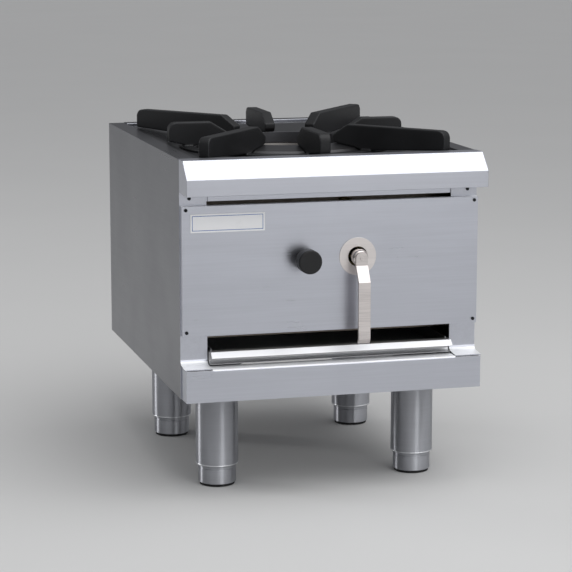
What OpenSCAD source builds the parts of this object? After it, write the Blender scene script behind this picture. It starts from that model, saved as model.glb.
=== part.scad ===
// Stock pot range: a low gas boiling table with one lever tap, one safety button and an eight-rib trivet.
// Lengths in millimetres.
// Inside the modules x runs to the right, y back from the front pillars, z up from the floor.

/* [Casing] */
// Width over the side panels
body_w = 450; // [430:1:480]
// Depth from the front pillars to the back panel's outer face
body_d = 540; // [520:1:570]
// Height of the casing above its legs
casing_h = 350; // [342:1:365]
// Thickness of the casing sheet
sheet = 1.5; // [1.2:0.1:1.8]
// Width of each front pillar
pillar_w = 40; // [36:1:42]
// Width of the side panels' top margins
margin_w = 25; // [22:1:28]
// Drop of the margins below the front nose
margin_drop = 1; // [0.6:0.1:1.4]
// Width of the side panels' bottom flange
base_flange_w = 38.5; // [37:0.5:41]
// Depth of the raised strip along the back of the top
back_strip_d = 24; // [20:1:28]

/* [Front nose] */
// How far the nose stands in front of the pillars
nose_out = 50; // [48:1:58]
// Where the flat top of the nose ends
nose_flat = 24; // [20:1:28]
// How far the nose laps back over the pillars
nose_lap = 3; // [2.5:0.5:3.5]
// Height of the sloping part of the nose
nose_slope_h = 25; // [20:1:30]
// Height of the whole nose
nose_h = 49; // [45:1:52]

/* [Front foot] */
// Radius of the bend at the foot of each pillar
foot_bend_r = 8; // [6:0.5:9]
// How far the foot of each pillar reaches forward
foot_out = 29; // [27:0.5:30]
// Height of the pillar's bend above the casing's base
foot_bend_h = 58.5; // [57:0.5:62]
// How far the plinth stands in front of the pillars
plinth_out = 32; // [31:0.5:36]
// Height of the plinth's upper flange above the base
plinth_h = 48; // [46.5:0.5:48.5]
// Radius of the plinth's upper edge
plinth_edge_r = 3; // [2:0.5:4]
// Depth of the plinth's upper flange
plinth_flange_d = 24; // [16:1:26]

/* [Front panel] */
// Height of the control panel
panel_h = 189.3; // [186:0.1:192]
// Drop of the panel's top edge below the nose
panel_drop = 67.7; // [66:0.1:72]
// How far the panel stands in front of the pillars
panel_out = 10.5; // [9:0.5:12]
// Gap between the panel's ends and the sides of the casing
panel_side_gap = 1.4; // [1:0.1:2.5]
// Thickness of the panel sheet
panel_t = 1.2; // [1:0.1:1.5]
// Width of the blank badge plate
badge_w = 110; // [90:1:120]
// Height of the blank badge plate
badge_h = 27; // [22:1:32]

/* [Lever tap] */
// Sideways place of the lever's axis
lever_x = 38.5; // [32:0.5:45]
// Drop of the lever's axis below the panel's top edge
lever_drop = 81.8; // [76:0.1:86]
// Radius of the escutcheon
escutcheon_r = 28; // [24:0.5:32]
// Radius of the lever's hub
hub_r = 12.25; // [11:0.25:13]
// How far the hub's face stands in front of the pillars
hub_out = 28; // [26:0.5:31]
// Width of the lever bar
lever_w = 18; // [16:0.5:20]
// Thickness of the lever bar
lever_t = 5; // [4:0.25:6]
// Length of the lever below its axis
lever_l = 123.5; // [110:0.5:130]
// Height of the lever's slope
lever_slope_h = 23; // [22:1:30]
// How far the slope carries the lever forward
lever_slope_out = 14; // [12:0.5:14.5]

/* [Safety button] */
// Distance of the button from the middle, to the left
button_x = 43; // [40:0.5:50]
// Radius of the button's cap
button_r = 17.5; // [14:0.5:20]
// Length of the button's cap
button_l = 20; // [17:0.5:20.5]
// How far the button's face stands in front of the pillars
button_out = 48; // [46:0.5:49]
// Radius of the button's stem
button_stem_r = 5; // [4:0.5:6]
// Radius of the safety valve's body
safety_r = 18; // [16:0.5:20]

/* [Trivet] */
// Height of the trivet's top above the nose
trivet_h = 27; // [24:0.5:30]
// Thickness of each rib
rib_t = 16.7; // [14:0.1:18]
// Gap between the sideways ribs and the margins
rib_side_gap = 13; // [12.5:0.5:18]
// Reach of the straight ribs to the front and back
rib_front = 223; // [215:1:228]
// Sideways gap between the diagonal ribs' ends and the margins
rib_diag_gap = 15.4; // [14.5:0.1:20]
// Angle of the diagonal ribs from the sideways axis, in degrees
rib_angle = 51.5; // [50:0.5:53]
// How far the ribs' tips reach inside the opening
rib_tip_in = 3; // [1:0.5:6]
// Length of the slope from the ribs' tips to their flat tops
rib_slope_l = 26; // [22:0.5:31]
// Radius of the ribs' outer upper corners
rib_corner_r = 11; // [6:0.5:14]

/* [Hob] */
// Distance of the burner's centre behind the pillars
burner_y = 250; // [246:1:254]
// Radius of the burner opening in the top
mouth_r = 98; // [96:0.5:100]
// Width of the raised collar round the opening
collar_w = 49; // [47:0.5:50]
// Width of the dish's flat floor round the collar
dish_w = 25; // [23:0.5:28]
// Drop of the top plate below the nose
plate_drop = 3.5; // [3.2:0.1:4]
// Depth of the dish below the top plate
dish_h = 11; // [10:0.5:12]

/* [Legs] */
// Height of the casing's base above the floor
leg_h = 150; // [135:1:170]
// Radius of the leg tubes
leg_r = 31.75; // [29.5:0.25:32]
// Distance of the legs' axes from the sides of the casing
leg_side_in = 71.8; // [71:0.1:74]
// Distance of the front legs behind the pillars
leg_front_y = 77.8; // [60:0.1:90]
// Distance of the rear legs' axes from the back panel
leg_rear_in = 139.9; // [120:0.1:160]
// Radius of the adjustable feet
foot_r = 28.25; // [25:0.25:29]
// Height of the tubes' lower ends above the floor
foot_h = 32; // [28:0.5:36]
// Thickness of the rubber pads
pad_t = 4; // [3:0.25:5]

/* [Burner and gas line] */
// Drop of the mixing tube's axis below the nose
burner_drop = 75; // [74:0.5:76]
// Gap between the burner's body and the edge of the opening
burner_in = 16; // [15:0.5:18]
// Width of the burner's ring
burner_ring_w = 40; // [38:0.5:42]
// Outer radius of the mixing tube
mixer_r = 14; // [12:0.25:15]
// Outer radius of the gas supply pipe
pipe_r = 13.45; // [12.5:0.05:14]
// Outer radius of the pipe's threaded inlet end
inlet_r = 13.2; // [12:0.1:13.4]
// How far the inlet pipe stands out behind the back panel
inlet_out = 25; // [22:1:35]
// Distance of the inlet pipe's axis from the left side of the casing
inlet_side_in = 75; // [67:1:85]

/* [Drip tray] */
// Distance of the tray's pan from each side of the casing
tray_side_in = 45; // [44:0.5:49]
// Distance of the tray's rear end from the back panel
tray_rear_in = 45; // [35:1:70]
// Height of the tray's front face
tray_h = 20.7; // [20:0.1:22]
// Thickness of the tray's sheet
tray_t = 1.2; // [1:0.1:1.4]
// Height of the tray's floor above the casing's base
tray_floor_h = 49; // [49:0.1:50.5]

/* [Hidden] */
$fn = 64;

// Shared clearances and the overrun of every cut
gap = 0.3;
fit = 0.05;
over = 1;

// Heights of the casing
half_w = body_w / 2;
base_z = leg_h;
deck_z = base_z + casing_h;
margin_z = deck_z - margin_drop;
plate_z = deck_z - plate_drop;
dish_z = plate_z - dish_h;
inner_x = half_w - sheet - gap;
margin_x = half_w - margin_w;
strip_y = body_d - back_strip_d;
leg_x = half_w - leg_side_in;
leg_rear_y = body_d - leg_rear_in;
inlet_x = half_w - inlet_side_in;
tray_half_w = half_w - tray_side_in;
tray_l = body_d - tray_rear_in;
rib_side = margin_x - rib_side_gap;
rib_diag = (margin_x - rib_diag_gap) / cos(rib_angle);
rail_top_z = deck_z - sheet - gap;

// Top front rail and its screws
rail_gap = 2;
rail_x = half_w - pillar_w - rail_gap;
rail_h = 60.5;
rail_z = rail_top_z - rail_h;
rail_tab_h = 32;
rail_shelf_d = 10;
rail_back_y = 2 * sheet + gap;
rail_screw_in = 14.5;
rail_screw_up = 4.9;
screw_head_r = 2.5;
screw_head_h = 1.4;
screw_r = 1.5;
screw_play = 0.2;
screw_tail = 3;

// Front panel, its screws, badge and escutcheon
panel_x = half_w - panel_side_gap;
panel_top_z = deck_z - panel_drop;
panel_z = panel_top_z - panel_h;
panel_screw_in = 5.8;
panel_screw_top = 5.2;
panel_screw_low = 6.2;
badge_in = 12.1;
badge_down = 11.1;
badge_t = 1.2;
escutcheon_t = 1;
hub_play = 2.35;

// Vents in the back panel, between the middle and the inlet pipe
vent_in = 20;
vent_w = inlet_x - 2 * vent_in;
vent_x = inlet_x / 2;
vent_h = 7;
vent_step = 18;
vent_rows = 5;
vent_z = base_z + casing_h / 2;

// Plinth
plinth_x = inner_x;
plinth_z = base_z + plinth_h;
plinth_low_h = 46.5;
plinth_tail = 25;
plinth_end_gap = 0.5;
foot_bend_z = base_z + foot_bend_h;
foot_fall = 5;

// Radii round the burner's centre
burner_r = mouth_r - burner_in;
burner_hole_r = burner_r - burner_ring_w;
collar_r = mouth_r + collar_w;
collar_foot_w = 10;
collar_knee_r = collar_r - collar_foot_w;
collar_brow_w = 14;
collar_brow_r = mouth_r + collar_brow_w;
dish_r = collar_r + dish_w;
rib_tip_r = mouth_r - rib_tip_in;
rib_top_r = rib_tip_r + rib_slope_l;
rib_foot_out = 3;
rib_foot_r = collar_r + rib_foot_out;

// Hob collar: drops below the nose, from the foot up to the mouth
collar_knee_drop = 7.7;
collar_brow_drop = 4.3;
mouth_drop = 2.5;
mouth_lip_h = 17.5;
dish_edge = 12;
dish_front_y = 16;
dish_back_in = 32;
bowl_top_drop = 20.5;
bowl_flange = 7;
bowl_h = 23.5;
bowl_taper = 7;

// Trivet profile below the nose, and its ring
rib_end_drop = 2;
rib_foot_drop = 10.7;
rib_play = 0.6;
rib_tip_h = 11;
rib_chin_h = 3;
ring_w = 16;
ring_h = 4.7;

// Legs, bearers and feet
bearer_half_w = 35.3;
bearer_t = 2;
bearer_h = 32;
bearer_front_y = 10;
bearer_back_gap = 10;
leg_t = 1.5;
leg_plate_t = 4;
leg_plate_x = 31.5;
leg_plate_y = 45;
leg_plate_z = base_z + sheet - leg_plate_t;
bush_h = 16;
foot_stem_r = 8;
foot_stem_l = 63;
foot_edge = 1.5;
pad_in = 0.5;
bolt_r = 4;
bolt_play = 0.3;
bolt_head_r = 7;
bolt_head_h = 5;
bolt_x = 22;
bolt_y = 36;

// Drip tray and runners
tray_z = base_z + tray_floor_h;
tray_wall_h = 23;
tray_face_over = 3.3;
tray_lip_out = 13.6;
tray_lip_drop = 7.9;
tray_flare_up = 7.5;
tray_flare_z = tray_z + tray_flare_up;
tray_flare_r = 5;
tray_flare_out = 5;
runner_lap = 15.3;
runner_t = 1.5;
runner_front_y = 5;
runner_back_gap = 20;
runner_guide_h = 7;
runner_wall_h = 16;
guide_gap = 1;

// Baffle
baffle_y = 60;
baffle_flange = 20;
baffle_top_drop = 20;
baffle_low_gap = 4;
hole_play = 1.5;

// Burner
mixer_z = deck_z - burner_drop;
burner_low = 20;
burner_h = 41;
burner_t = 4;
burner_z = mixer_z - burner_low;
burner_top_z = burner_z + burner_h;
mixer_boss_t = 4;
mixer_boss_r = mixer_r + mixer_boss_t;
mixer_boss_l = 24;
mixer_t = 3;
head_over = 2;
head_h = 20;
head_skirt_h = 4;
head_t = 6;
port_r = 1.6;
port_count = 36;
bracket_w = 30;
bracket_t = 3;
bracket_tab_h = 20;

// Mixing tube bell, air shutter and injector
bell_r = 20;
bell_t = 3;
bell_y = 100;
bell_l = 30;
shutter_t = 2;
shutter_l = 22;
shutter_in = 4;
window_w = 12;
window_l = 12;
injector_r = 6;
injector_in = 8;
injector_hex_r = 9;
injector_l = 10;
jet_r = 1.2;
feed_r = 6;

// Main valve, plug and lever
valve_z = panel_top_z - lever_drop;
valve_r = 17;
valve_y = 14;
valve_link_y = 43;
valve_feed_y = 29;
gland_r = 11;
gland_l = 8;
plug_r = 9;
plug_l = 40;
spindle_r = 4;
spindle_in = 2;
port_bore_r = 4;
lever_screw_r = 2;
lever_screw_head_r = 3;
lever_screw_head_h = 1;
lever_screw_l = 16;
lever_bend_h = 10.5;
lever_end_h = 7;
lever_end_in = 4;
hub_dome_h = 7;
grub_r = 1.6;
grub_in = 8;

// Safety valve, button and pilot
link_r = 8;
button_skirt_in = 3;
button_stem_in = 10;
safety_y = 18;
button_chamfer = 1.5;
pilot_r = 5;
pilot_h = 28;
pilot_tube_r = 3;
pilot_drop = 20;
pilot_tube_z = mixer_z - pilot_drop;
lug_w = 34;
lug_in = 4;
lug_out = 5.4;
lug_h = 12;
lug_z = burner_z + lug_h;
probe_r = 2.5;
probe_h = 30;
probe_turn = 12;
lead_r = 1.6;
lug_face_r = burner_r + lug_out;
pilot_ring_r = (lug_face_r + pilot_r) / cos(probe_turn / 2);
probe_ring_r = (lug_face_r + probe_r) / cos(probe_turn / 2);
pilot_angle = 180 + acos(button_x / pilot_ring_r);
pilot_y = burner_y + pilot_ring_r * sin(pilot_angle);
probe_x = probe_ring_r * cos(pilot_angle - probe_turn);
probe_y = burner_y + probe_ring_r * sin(pilot_angle - probe_turn);

// Row placing: the object stands centred over the floor point
mid_y = (body_d + inlet_out - nose_out) / 2;

function unit(v) = v / norm(v);
function side_of(a, b) = let(d = unit(b - a)) [-d[1], d[0]];
function mitre(a, b) = let(m = unit(a + b)) m / (m * a);
function normal_at(p, i) =
    i == 0 ? side_of(p[0], p[1])
    : i == len(p) - 1 ? side_of(p[i - 1], p[i])
    : mitre(side_of(p[i - 1], p[i]), side_of(p[i], p[i + 1]));
// Outline of a folded sheet whose face follows path p
function fold(p, t) = concat(p, [for (i = [len(p) - 1:-1:0]) p[i] + t * normal_at(p, i)]);
function arc(c, r, a, b, n) = [for (i = [0:n]) c + r * [cos(a + (b - a) * i / n), sin(a + (b - a) * i / n)]];

module placed() {
    translate([0, -mid_y, 0]) children();
}

module block(x, y, z) {
    translate([x[0], y[0], z[0]]) cube([x[1] - x[0], y[1] - y[0], z[1] - z[0]]);
}

// Extrudes a (y, z) outline from x[0] to x[1]
module across(x) {
    translate([x[0], 0, 0]) rotate([90, 0, 90]) linear_extrude(height = x[1] - x[0]) children();
}

module rod_x(y, z, x, r) {
    translate([x[0], y, z]) rotate([0, 90, 0]) cylinder(h = x[1] - x[0], r = r);
}

module rod_y(x, z, y, r) {
    translate([x, y[0], z]) rotate([-90, 0, 0]) cylinder(h = y[1] - y[0], r = r);
}

module rod_z(x, y, z, r) {
    translate([x, y, z[0]]) cylinder(h = z[1] - z[0], r = r);
}

// Turns a (radius, z) outline round the burner's centre
module turned() {
    translate([0, burner_y, 0]) rotate_extrude($fn = 96) children();
}

module pillar_holes() {
    for (z = [panel_top_z - panel_screw_top, panel_z + panel_screw_low])
        rod_y(panel_x - panel_screw_in, z, [-over, sheet + over], screw_r + screw_play);
    rod_y(half_w - rail_screw_in, rail_z + rail_screw_up, [-over, sheet + over], screw_r + screw_play);
}

// Side panel: wall, top margin with its turned-down edge, front pillar with its foot, and bottom flange
module side_panel() {
    pillar = concat([[0, rail_top_z]], arc([-foot_bend_r, foot_bend_z], foot_bend_r, 0, foot_fall - 90, 8));
    last = pillar[len(pillar) - 1];
    foot = [-foot_out, last[1] - (foot_out + last[0]) * tan(foot_fall)];
    difference() {
        union() {
            difference() {
                block([half_w - sheet, half_w], [0, body_d], [base_z, margin_z]);
                block([half_w - sheet - over, half_w + over], [-over, nose_lap + gap],
                    [rail_top_z, margin_z + over]);
            }
            block([margin_x, half_w], [nose_lap + gap, body_d], [margin_z - sheet, margin_z]);
            block([margin_x, margin_x + sheet], [nose_lap + gap, strip_y - gap], [plate_z, margin_z]);
            block([half_w - base_flange_w, half_w], [plinth_tail + gap, body_d - sheet - gap],
                [base_z, base_z + sheet]);
            across([half_w - pillar_w, half_w]) polygon(fold(concat(pillar, [foot]), sheet));
        }
        pillar_holes();
    }
}

module side_panel_left() {
    color("darkgray") placed() mirror([1, 0, 0]) side_panel();
}

module side_panel_right() {
    color("darkgray") placed() side_panel();
}

module back_panel() {
    color("darkgray") placed() {
        difference() {
            block([-inner_x, inner_x], [body_d - sheet, body_d], [base_z, plate_z - sheet - gap]);
            rod_y(-inlet_x, valve_z, [body_d - sheet - over, body_d + over], pipe_r + hole_play);
            for (s = [-1, 1], i = [0:vent_rows - 1])
                translate([s * vent_x - vent_w / 2, body_d - sheet - over, vent_z + i * vent_step])
                    cube([vent_w, sheet + 2 * over, vent_h]);
        }
        block([-margin_x + gap, margin_x - gap], [body_d - sheet, body_d], [plate_z - sheet - gap, deck_z]);
        block([-margin_x + gap, margin_x - gap], [strip_y, body_d], [deck_z - sheet, deck_z]);
        block([-margin_x + gap, margin_x - gap], [strip_y, strip_y + sheet], [plate_z, deck_z]);
    }
}

// Outer body of the dish, between the rectangle under the plate and the round floor
module dish_body(lift) {
    hull() {
        block([-margin_x + dish_edge, margin_x - dish_edge], [dish_front_y, strip_y - dish_back_in],
            [plate_z - sheet + lift, plate_z + lift]);
        translate([0, burner_y, dish_z - sheet + lift]) cylinder(h = sheet, r = dish_r, $fn = 96);
    }
}

module hob_top() {
    collar = [[collar_r, dish_z], [collar_knee_r, deck_z - collar_knee_drop],
        [collar_brow_r, deck_z - collar_brow_drop], [mouth_r, deck_z - mouth_drop],
        [mouth_r, deck_z - mouth_drop - mouth_lip_h]];
    color("dimgray") placed() {
        difference() {
            union() {
                block([-inner_x, inner_x], [rail_back_y + gap, body_d - sheet - gap],
                    [plate_z - sheet, plate_z]);
                dish_body(0);
            }
            dish_body(sheet);
            translate([0, burner_y, dish_z - sheet - over])
                cylinder(h = dish_h + sheet + 2 * over, r = collar_r);
        }
        turned() polygon(fold(concat([[collar_r + over, dish_z]], collar), sheet));
    }
}

// Front nose: folded sheet with closed ends
module front_nose() {
    low = deck_z - nose_h;
    path = [[nose_lap, deck_z], [-nose_flat, deck_z], [-nose_out, deck_z - nose_slope_h], [-nose_out, low],
        [-gap, low]];
    color("lightgray") placed() {
        across([-half_w, half_w]) polygon(fold(path, sheet));
        for (x = [[-half_w, sheet - half_w], [half_w - sheet, half_w]])
            across(x) polygon([[-gap, deck_z], path[1], path[2], path[3], path[4]]);
    }
}

module top_front_rail() {
    color("silver") placed() difference() {
        union() {
            block([-rail_x, rail_x], [0, sheet], [rail_z, rail_top_z]);
            block([-inner_x, inner_x], [sheet + gap, rail_back_y], [rail_z, rail_z + rail_tab_h]);
            block([-rail_x, rail_x], [sheet, rail_back_y], [rail_z, rail_top_z]);
            block([-rail_x, rail_x], [rail_back_y - sheet, rail_back_y + rail_shelf_d],
                [plate_z - 2 * sheet - gap, plate_z - sheet - gap]);
        }
        for (s = [-1, 1])
            rod_y(s * (half_w - rail_screw_in), rail_z + rail_screw_up, [-over, rail_back_y + over],
                screw_r + screw_play);
    }
}

// Domed screw with a slotted head, its head's back face at y, pointing back
module sheet_screw(x, z, y, l) {
    difference() {
        rod_y(x, z, [y - screw_head_h, y], screw_head_r);
        translate([x - screw_head_r, y - screw_head_h - over, z - screw_play])
            cube([2 * screw_head_r, screw_head_h / 2 + over, 2 * screw_play]);
    }
    rod_y(x, z, [y - screw_head_h / 2, y + l], screw_r);
}

module rail_screws() {
    color("black") placed() for (s = [-1, 1])
        sheet_screw(s * (half_w - rail_screw_in), rail_z + rail_screw_up, 0, rail_back_y + screw_tail);
}

module front_panel() {
    color("silver") placed() difference() {
        block([-panel_x, panel_x], [-panel_out, -gap], [panel_z, panel_top_z]);
        block([panel_t - panel_x, panel_x - panel_t], [panel_t - panel_out, over],
            [panel_z + panel_t, panel_top_z - panel_t]);
        rod_y(lever_x, valve_z, [-panel_out - over, over], hub_r + hub_play);
        rod_y(-button_x, valve_z, [-panel_out - over, over], button_stem_r + hole_play);
        for (s = [-1, 1], z = [panel_top_z - panel_screw_top, panel_z + panel_screw_low])
            rod_y(s * (panel_x - panel_screw_in), z, [-panel_out - over, over], screw_r + screw_play);
    }
}

module panel_screws() {
    color("black") placed()
        for (s = [-1, 1], z = [panel_top_z - panel_screw_top, panel_z + panel_screw_low])
            sheet_screw(s * (panel_x - panel_screw_in), z, -panel_out, panel_out + sheet + screw_tail);
}

module escutcheon() {
    color("silver") placed() difference() {
        rod_y(lever_x, valve_z, [-panel_out - escutcheon_t, -panel_out], escutcheon_r);
        rod_y(lever_x, valve_z, [-panel_out - escutcheon_t - over, over - panel_out], hub_r + hub_play);
    }
}

module badge_plate() {
    color("white") placed() block([badge_in - panel_x, badge_in - panel_x + badge_w],
        [-panel_out - badge_t, -panel_out],
        [panel_top_z - badge_down - badge_h, panel_top_z - badge_down]);
}

module plinth_fascia() {
    mid_x = half_w - pillar_w - plinth_end_gap;
    low_z = base_z + plinth_low_h - plinth_edge_r;
    flange_y = plinth_edge_r - plinth_out + plinth_flange_d;
    edge = arc([plinth_edge_r - plinth_out, plinth_z - plinth_edge_r], plinth_edge_r, 180, 90, 6);
    color("silver") placed() {
        across([-mid_x, mid_x]) polygon(fold(concat([[flange_y, plinth_z]], [for (i = [6:-1:0]) edge[i]],
            [[-plinth_out, low_z]]), sheet));
        block([-plinth_x, plinth_x], [-plinth_out, sheet - plinth_out], [base_z, low_z]);
        for (s = [-1, 1]) {
            x = s > 0 ? [mid_x - over, plinth_x] : [-plinth_x, over - mid_x];
            end = s > 0 ? [plinth_x - sheet, plinth_x] : [-plinth_x, sheet - plinth_x];
            block(x, [-plinth_out, sheet - plinth_out], [base_z, base_z + plinth_low_h]);
            block(end, [-plinth_out, plinth_tail], [base_z, base_z + plinth_low_h]);
        }
    }
}

module front_baffle() {
    low = tray_z + tray_wall_h + baffle_low_gap;
    top = deck_z - baffle_top_drop;
    through = [baffle_y - over, baffle_y + sheet + over];
    color("gray") placed() {
        difference() {
            block([-inner_x, inner_x], [baffle_y, baffle_y + sheet], [low, top]);
            rod_y(-inlet_x, valve_z, through, pipe_r + hole_play);
            rod_y(lever_x, mixer_z, through, feed_r + hole_play);
            rod_y(-button_x, pilot_tube_z, through, pilot_tube_r + hole_play);
            rod_y(probe_x, valve_z, through, lead_r + hole_play);
        }
        for (x = [[-inner_x, sheet - inner_x], [inner_x - sheet, inner_x]])
            block(x, [baffle_y, baffle_y + baffle_flange], [low, top]);
    }
}

module leg_bolt_holes(x, y, z) {
    for (i = [-1, 1], j = [-1, 1])
        rod_z(x + i * bolt_x, y + j * bolt_y, z, bolt_r + bolt_play);
}

// Bearer: open channel along each side that carries two legs
module bearer() {
    low = base_z + sheet;
    back = body_d - bearer_back_gap;
    color("gray") placed() difference() {
        block([leg_x - bearer_half_w, leg_x + bearer_half_w], [bearer_front_y, back], [low, low + bearer_h]);
        block([leg_x - bearer_half_w + bearer_t, leg_x + bearer_half_w - bearer_t],
            [bearer_front_y - over, back + over], [low + bearer_t, low + bearer_h + over]);
        for (y = [leg_front_y, leg_rear_y])
            leg_bolt_holes(leg_x, y, [low - over, low + bearer_t + over]);
    }
}

module bearer_left() {
    mirror([1, 0, 0]) bearer();
}

module bearer_right() {
    bearer();
}

// Leg: tube with a threaded bush in its lower end and a plate on top
module leg(x, y) {
    color("gray") placed() difference() {
        union() {
            rod_z(x, y, [foot_h, leg_plate_z + leg_plate_t / 2], leg_r);
            block([x - leg_plate_x, x + leg_plate_x], [y - leg_plate_y, y + leg_plate_y],
                [leg_plate_z, leg_plate_z + leg_plate_t]);
        }
        rod_z(x, y, [foot_h + bush_h, leg_plate_z], leg_r - leg_t);
        rod_z(x, y, [foot_h - over, foot_h + bush_h + over], foot_stem_r + fit);
        leg_bolt_holes(x, y, [leg_plate_z - over, leg_plate_z + leg_plate_t + over]);
    }
}

module leg_front_left() {
    leg(-leg_x, leg_front_y);
}

module leg_front_right() {
    leg(leg_x, leg_front_y);
}

module leg_rear_left() {
    leg(-leg_x, leg_rear_y);
}

module leg_rear_right() {
    leg(leg_x, leg_rear_y);
}

module leg_bolt(x, y) {
    top = leg_plate_z + leg_plate_t + bearer_t;
    rod_z(x, y, [leg_plate_z - bolt_head_h / 2, top + bolt_head_h / 2], bolt_r);
    translate([x, y, leg_plate_z - bolt_head_h]) cylinder(h = bolt_head_h, r = bolt_head_r, $fn = 6);
    translate([x, y, top]) cylinder(h = bolt_head_h, r = bolt_head_r, $fn = 6);
}

module leg_bolts() {
    color("dimgray") placed()
        for (s = [-1, 1], y = [leg_front_y, leg_rear_y], i = [-1, 1], j = [-1, 1])
            leg_bolt(s * leg_x + i * bolt_x, y + j * bolt_y);
}

// Adjustable foot: cup-shaped insert with a threaded stem
module foot_insert(x, y) {
    top = foot_h - gap;
    outline = [[0, pad_t], [foot_r - foot_edge, pad_t], [foot_r, pad_t + foot_edge], [foot_r, top],
        [foot_stem_r, top], [foot_stem_r, top + foot_stem_l], [0, top + foot_stem_l]];
    color("gray") placed() translate([x, y, 0]) rotate_extrude() polygon(outline);
}

module foot_insert_front_left() {
    foot_insert(-leg_x, leg_front_y);
}

module foot_insert_front_right() {
    foot_insert(leg_x, leg_front_y);
}

module foot_insert_rear_left() {
    foot_insert(-leg_x, leg_rear_y);
}

module foot_insert_rear_right() {
    foot_insert(leg_x, leg_rear_y);
}

module foot_pad(x, y) {
    color("black") placed() rod_z(x, y, [0, pad_t], foot_r - foot_edge - pad_in);
}

module foot_pad_front_left() {
    foot_pad(-leg_x, leg_front_y);
}

module foot_pad_front_right() {
    foot_pad(leg_x, leg_front_y);
}

module foot_pad_rear_left() {
    foot_pad(-leg_x, leg_rear_y);
}

module foot_pad_rear_right() {
    foot_pad(leg_x, leg_rear_y);
}

// Runner: shelf under one side of the tray with a guide and a flange against the side panel
module tray_runner() {
    top = tray_z - gap;
    back = body_d - runner_back_gap;
    guide_x = tray_half_w + guide_gap;
    lap_x = tray_half_w - runner_lap;
    color("gray") placed() {
        block([lap_x, inner_x], [runner_front_y, back], [top - runner_t, top]);
        block([guide_x, guide_x + runner_t], [runner_front_y, back], [top - runner_t, top + runner_guide_h]);
        block([inner_x - runner_t, inner_x], [runner_front_y, back], [top - runner_t, top + runner_wall_h]);
    }
}

module tray_runner_left() {
    mirror([1, 0, 0]) tray_runner();
}

module tray_runner_right() {
    tray_runner();
}

module drip_tray() {
    face_x = tray_half_w + tray_face_over;
    face_z = tray_z + tray_h;
    color("gray") placed() {
        difference() {
            block([-tray_half_w, tray_half_w], [0, tray_l], [tray_z, tray_z + tray_wall_h]);
            block([tray_t - tray_half_w, tray_half_w - tray_t], [tray_t, tray_l - tray_t],
                [tray_z + tray_t, tray_z + tray_wall_h + over]);
            block([-tray_half_w - over, tray_half_w + over], [-over, tray_t],
                [face_z, tray_z + tray_wall_h + over]);
        }
        block([-face_x, face_x], [0, tray_t], [tray_z, face_z]);
        across([-face_x, face_x]) polygon(fold([[tray_t, face_z], [-tray_lip_out, face_z],
            [-tray_lip_out - tray_lip_drop, face_z - tray_lip_drop]], tray_t));
        across([-face_x, face_x]) polygon(fold(concat([[0, tray_flare_z + tray_flare_r]],
            arc([-tray_flare_r, tray_flare_z], tray_flare_r, 0, -90, 6),
            [[-tray_flare_r - tray_flare_out, tray_flare_z - tray_flare_r]]), tray_t));
    }
}

module spill_bowl() {
    top = deck_z - bowl_top_drop;
    inner_r = mouth_r - sheet;
    color("dimgray") placed() turned() polygon(fold([[mouth_r + bowl_flange, top], [inner_r, top],
        [inner_r - bowl_taper, top - bowl_h]], sheet));
}

// One rib: its outline stands on the dish and the collar, from the tip out to the end
module rib(reach) {
    top = deck_z + trivet_h;
    end_z = deck_z - rib_end_drop;
    outline = concat([[rib_tip_r, deck_z + rib_tip_h], [rib_tip_r, deck_z + rib_chin_h],
        [mouth_r, deck_z - mouth_drop + rib_play], [collar_brow_r, deck_z - collar_brow_drop + rib_play],
        [collar_knee_r + rib_play, deck_z - collar_knee_drop + rib_play],
        [rib_foot_r, deck_z - rib_foot_drop], [reach, end_z]],
        arc([reach - rib_corner_r, top - rib_corner_r], rib_corner_r, 0, 90, 6), [[rib_top_r, top]]);
    rotate([90, 0, 0]) linear_extrude(height = rib_t, center = true) polygon(outline);
}

module trivet() {
    color("black") placed() {
        translate([0, burner_y, 0]) {
            for (a = [0, 180])
                rotate([0, 0, a]) rib(rib_side);
            for (a = [90, 270])
                rotate([0, 0, a]) rib(rib_front);
            for (a = [rib_angle, 180 - rib_angle, 180 + rib_angle, -rib_angle])
                rotate([0, 0, a]) rib(rib_diag);
        }
        turned() translate([rib_foot_r, dish_z + gap]) square([ring_w, ring_h]);
    }
}

module burner_body() {
    color("dimgray") placed() difference() {
        union() {
            turned() translate([burner_hole_r, burner_z]) square([burner_r - burner_hole_r, burner_h]);
            rod_y(lever_x, mixer_z, [burner_y - burner_r - mixer_boss_l / 2, burner_y - burner_hole_r],
                mixer_boss_r);
            translate([0, burner_y, lug_z]) rotate([0, 0, pilot_angle - probe_turn / 2])
                translate([burner_r - lug_in, -lug_w / 2, 0]) cube([lug_in + lug_out, lug_w, lug_h]);
        }
        turned() translate([burner_hole_r + burner_t, burner_z + burner_t])
            square([burner_r - burner_hole_r - 2 * burner_t, burner_h]);
        translate([0, burner_y, burner_z - over]) cylinder(h = burner_h + 2 * over, r = burner_hole_r);
        rod_y(lever_x, mixer_z,
            [burner_y - burner_r - mixer_boss_l, burner_y - burner_hole_r - burner_t - over], mixer_r + fit);
    }
}

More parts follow.
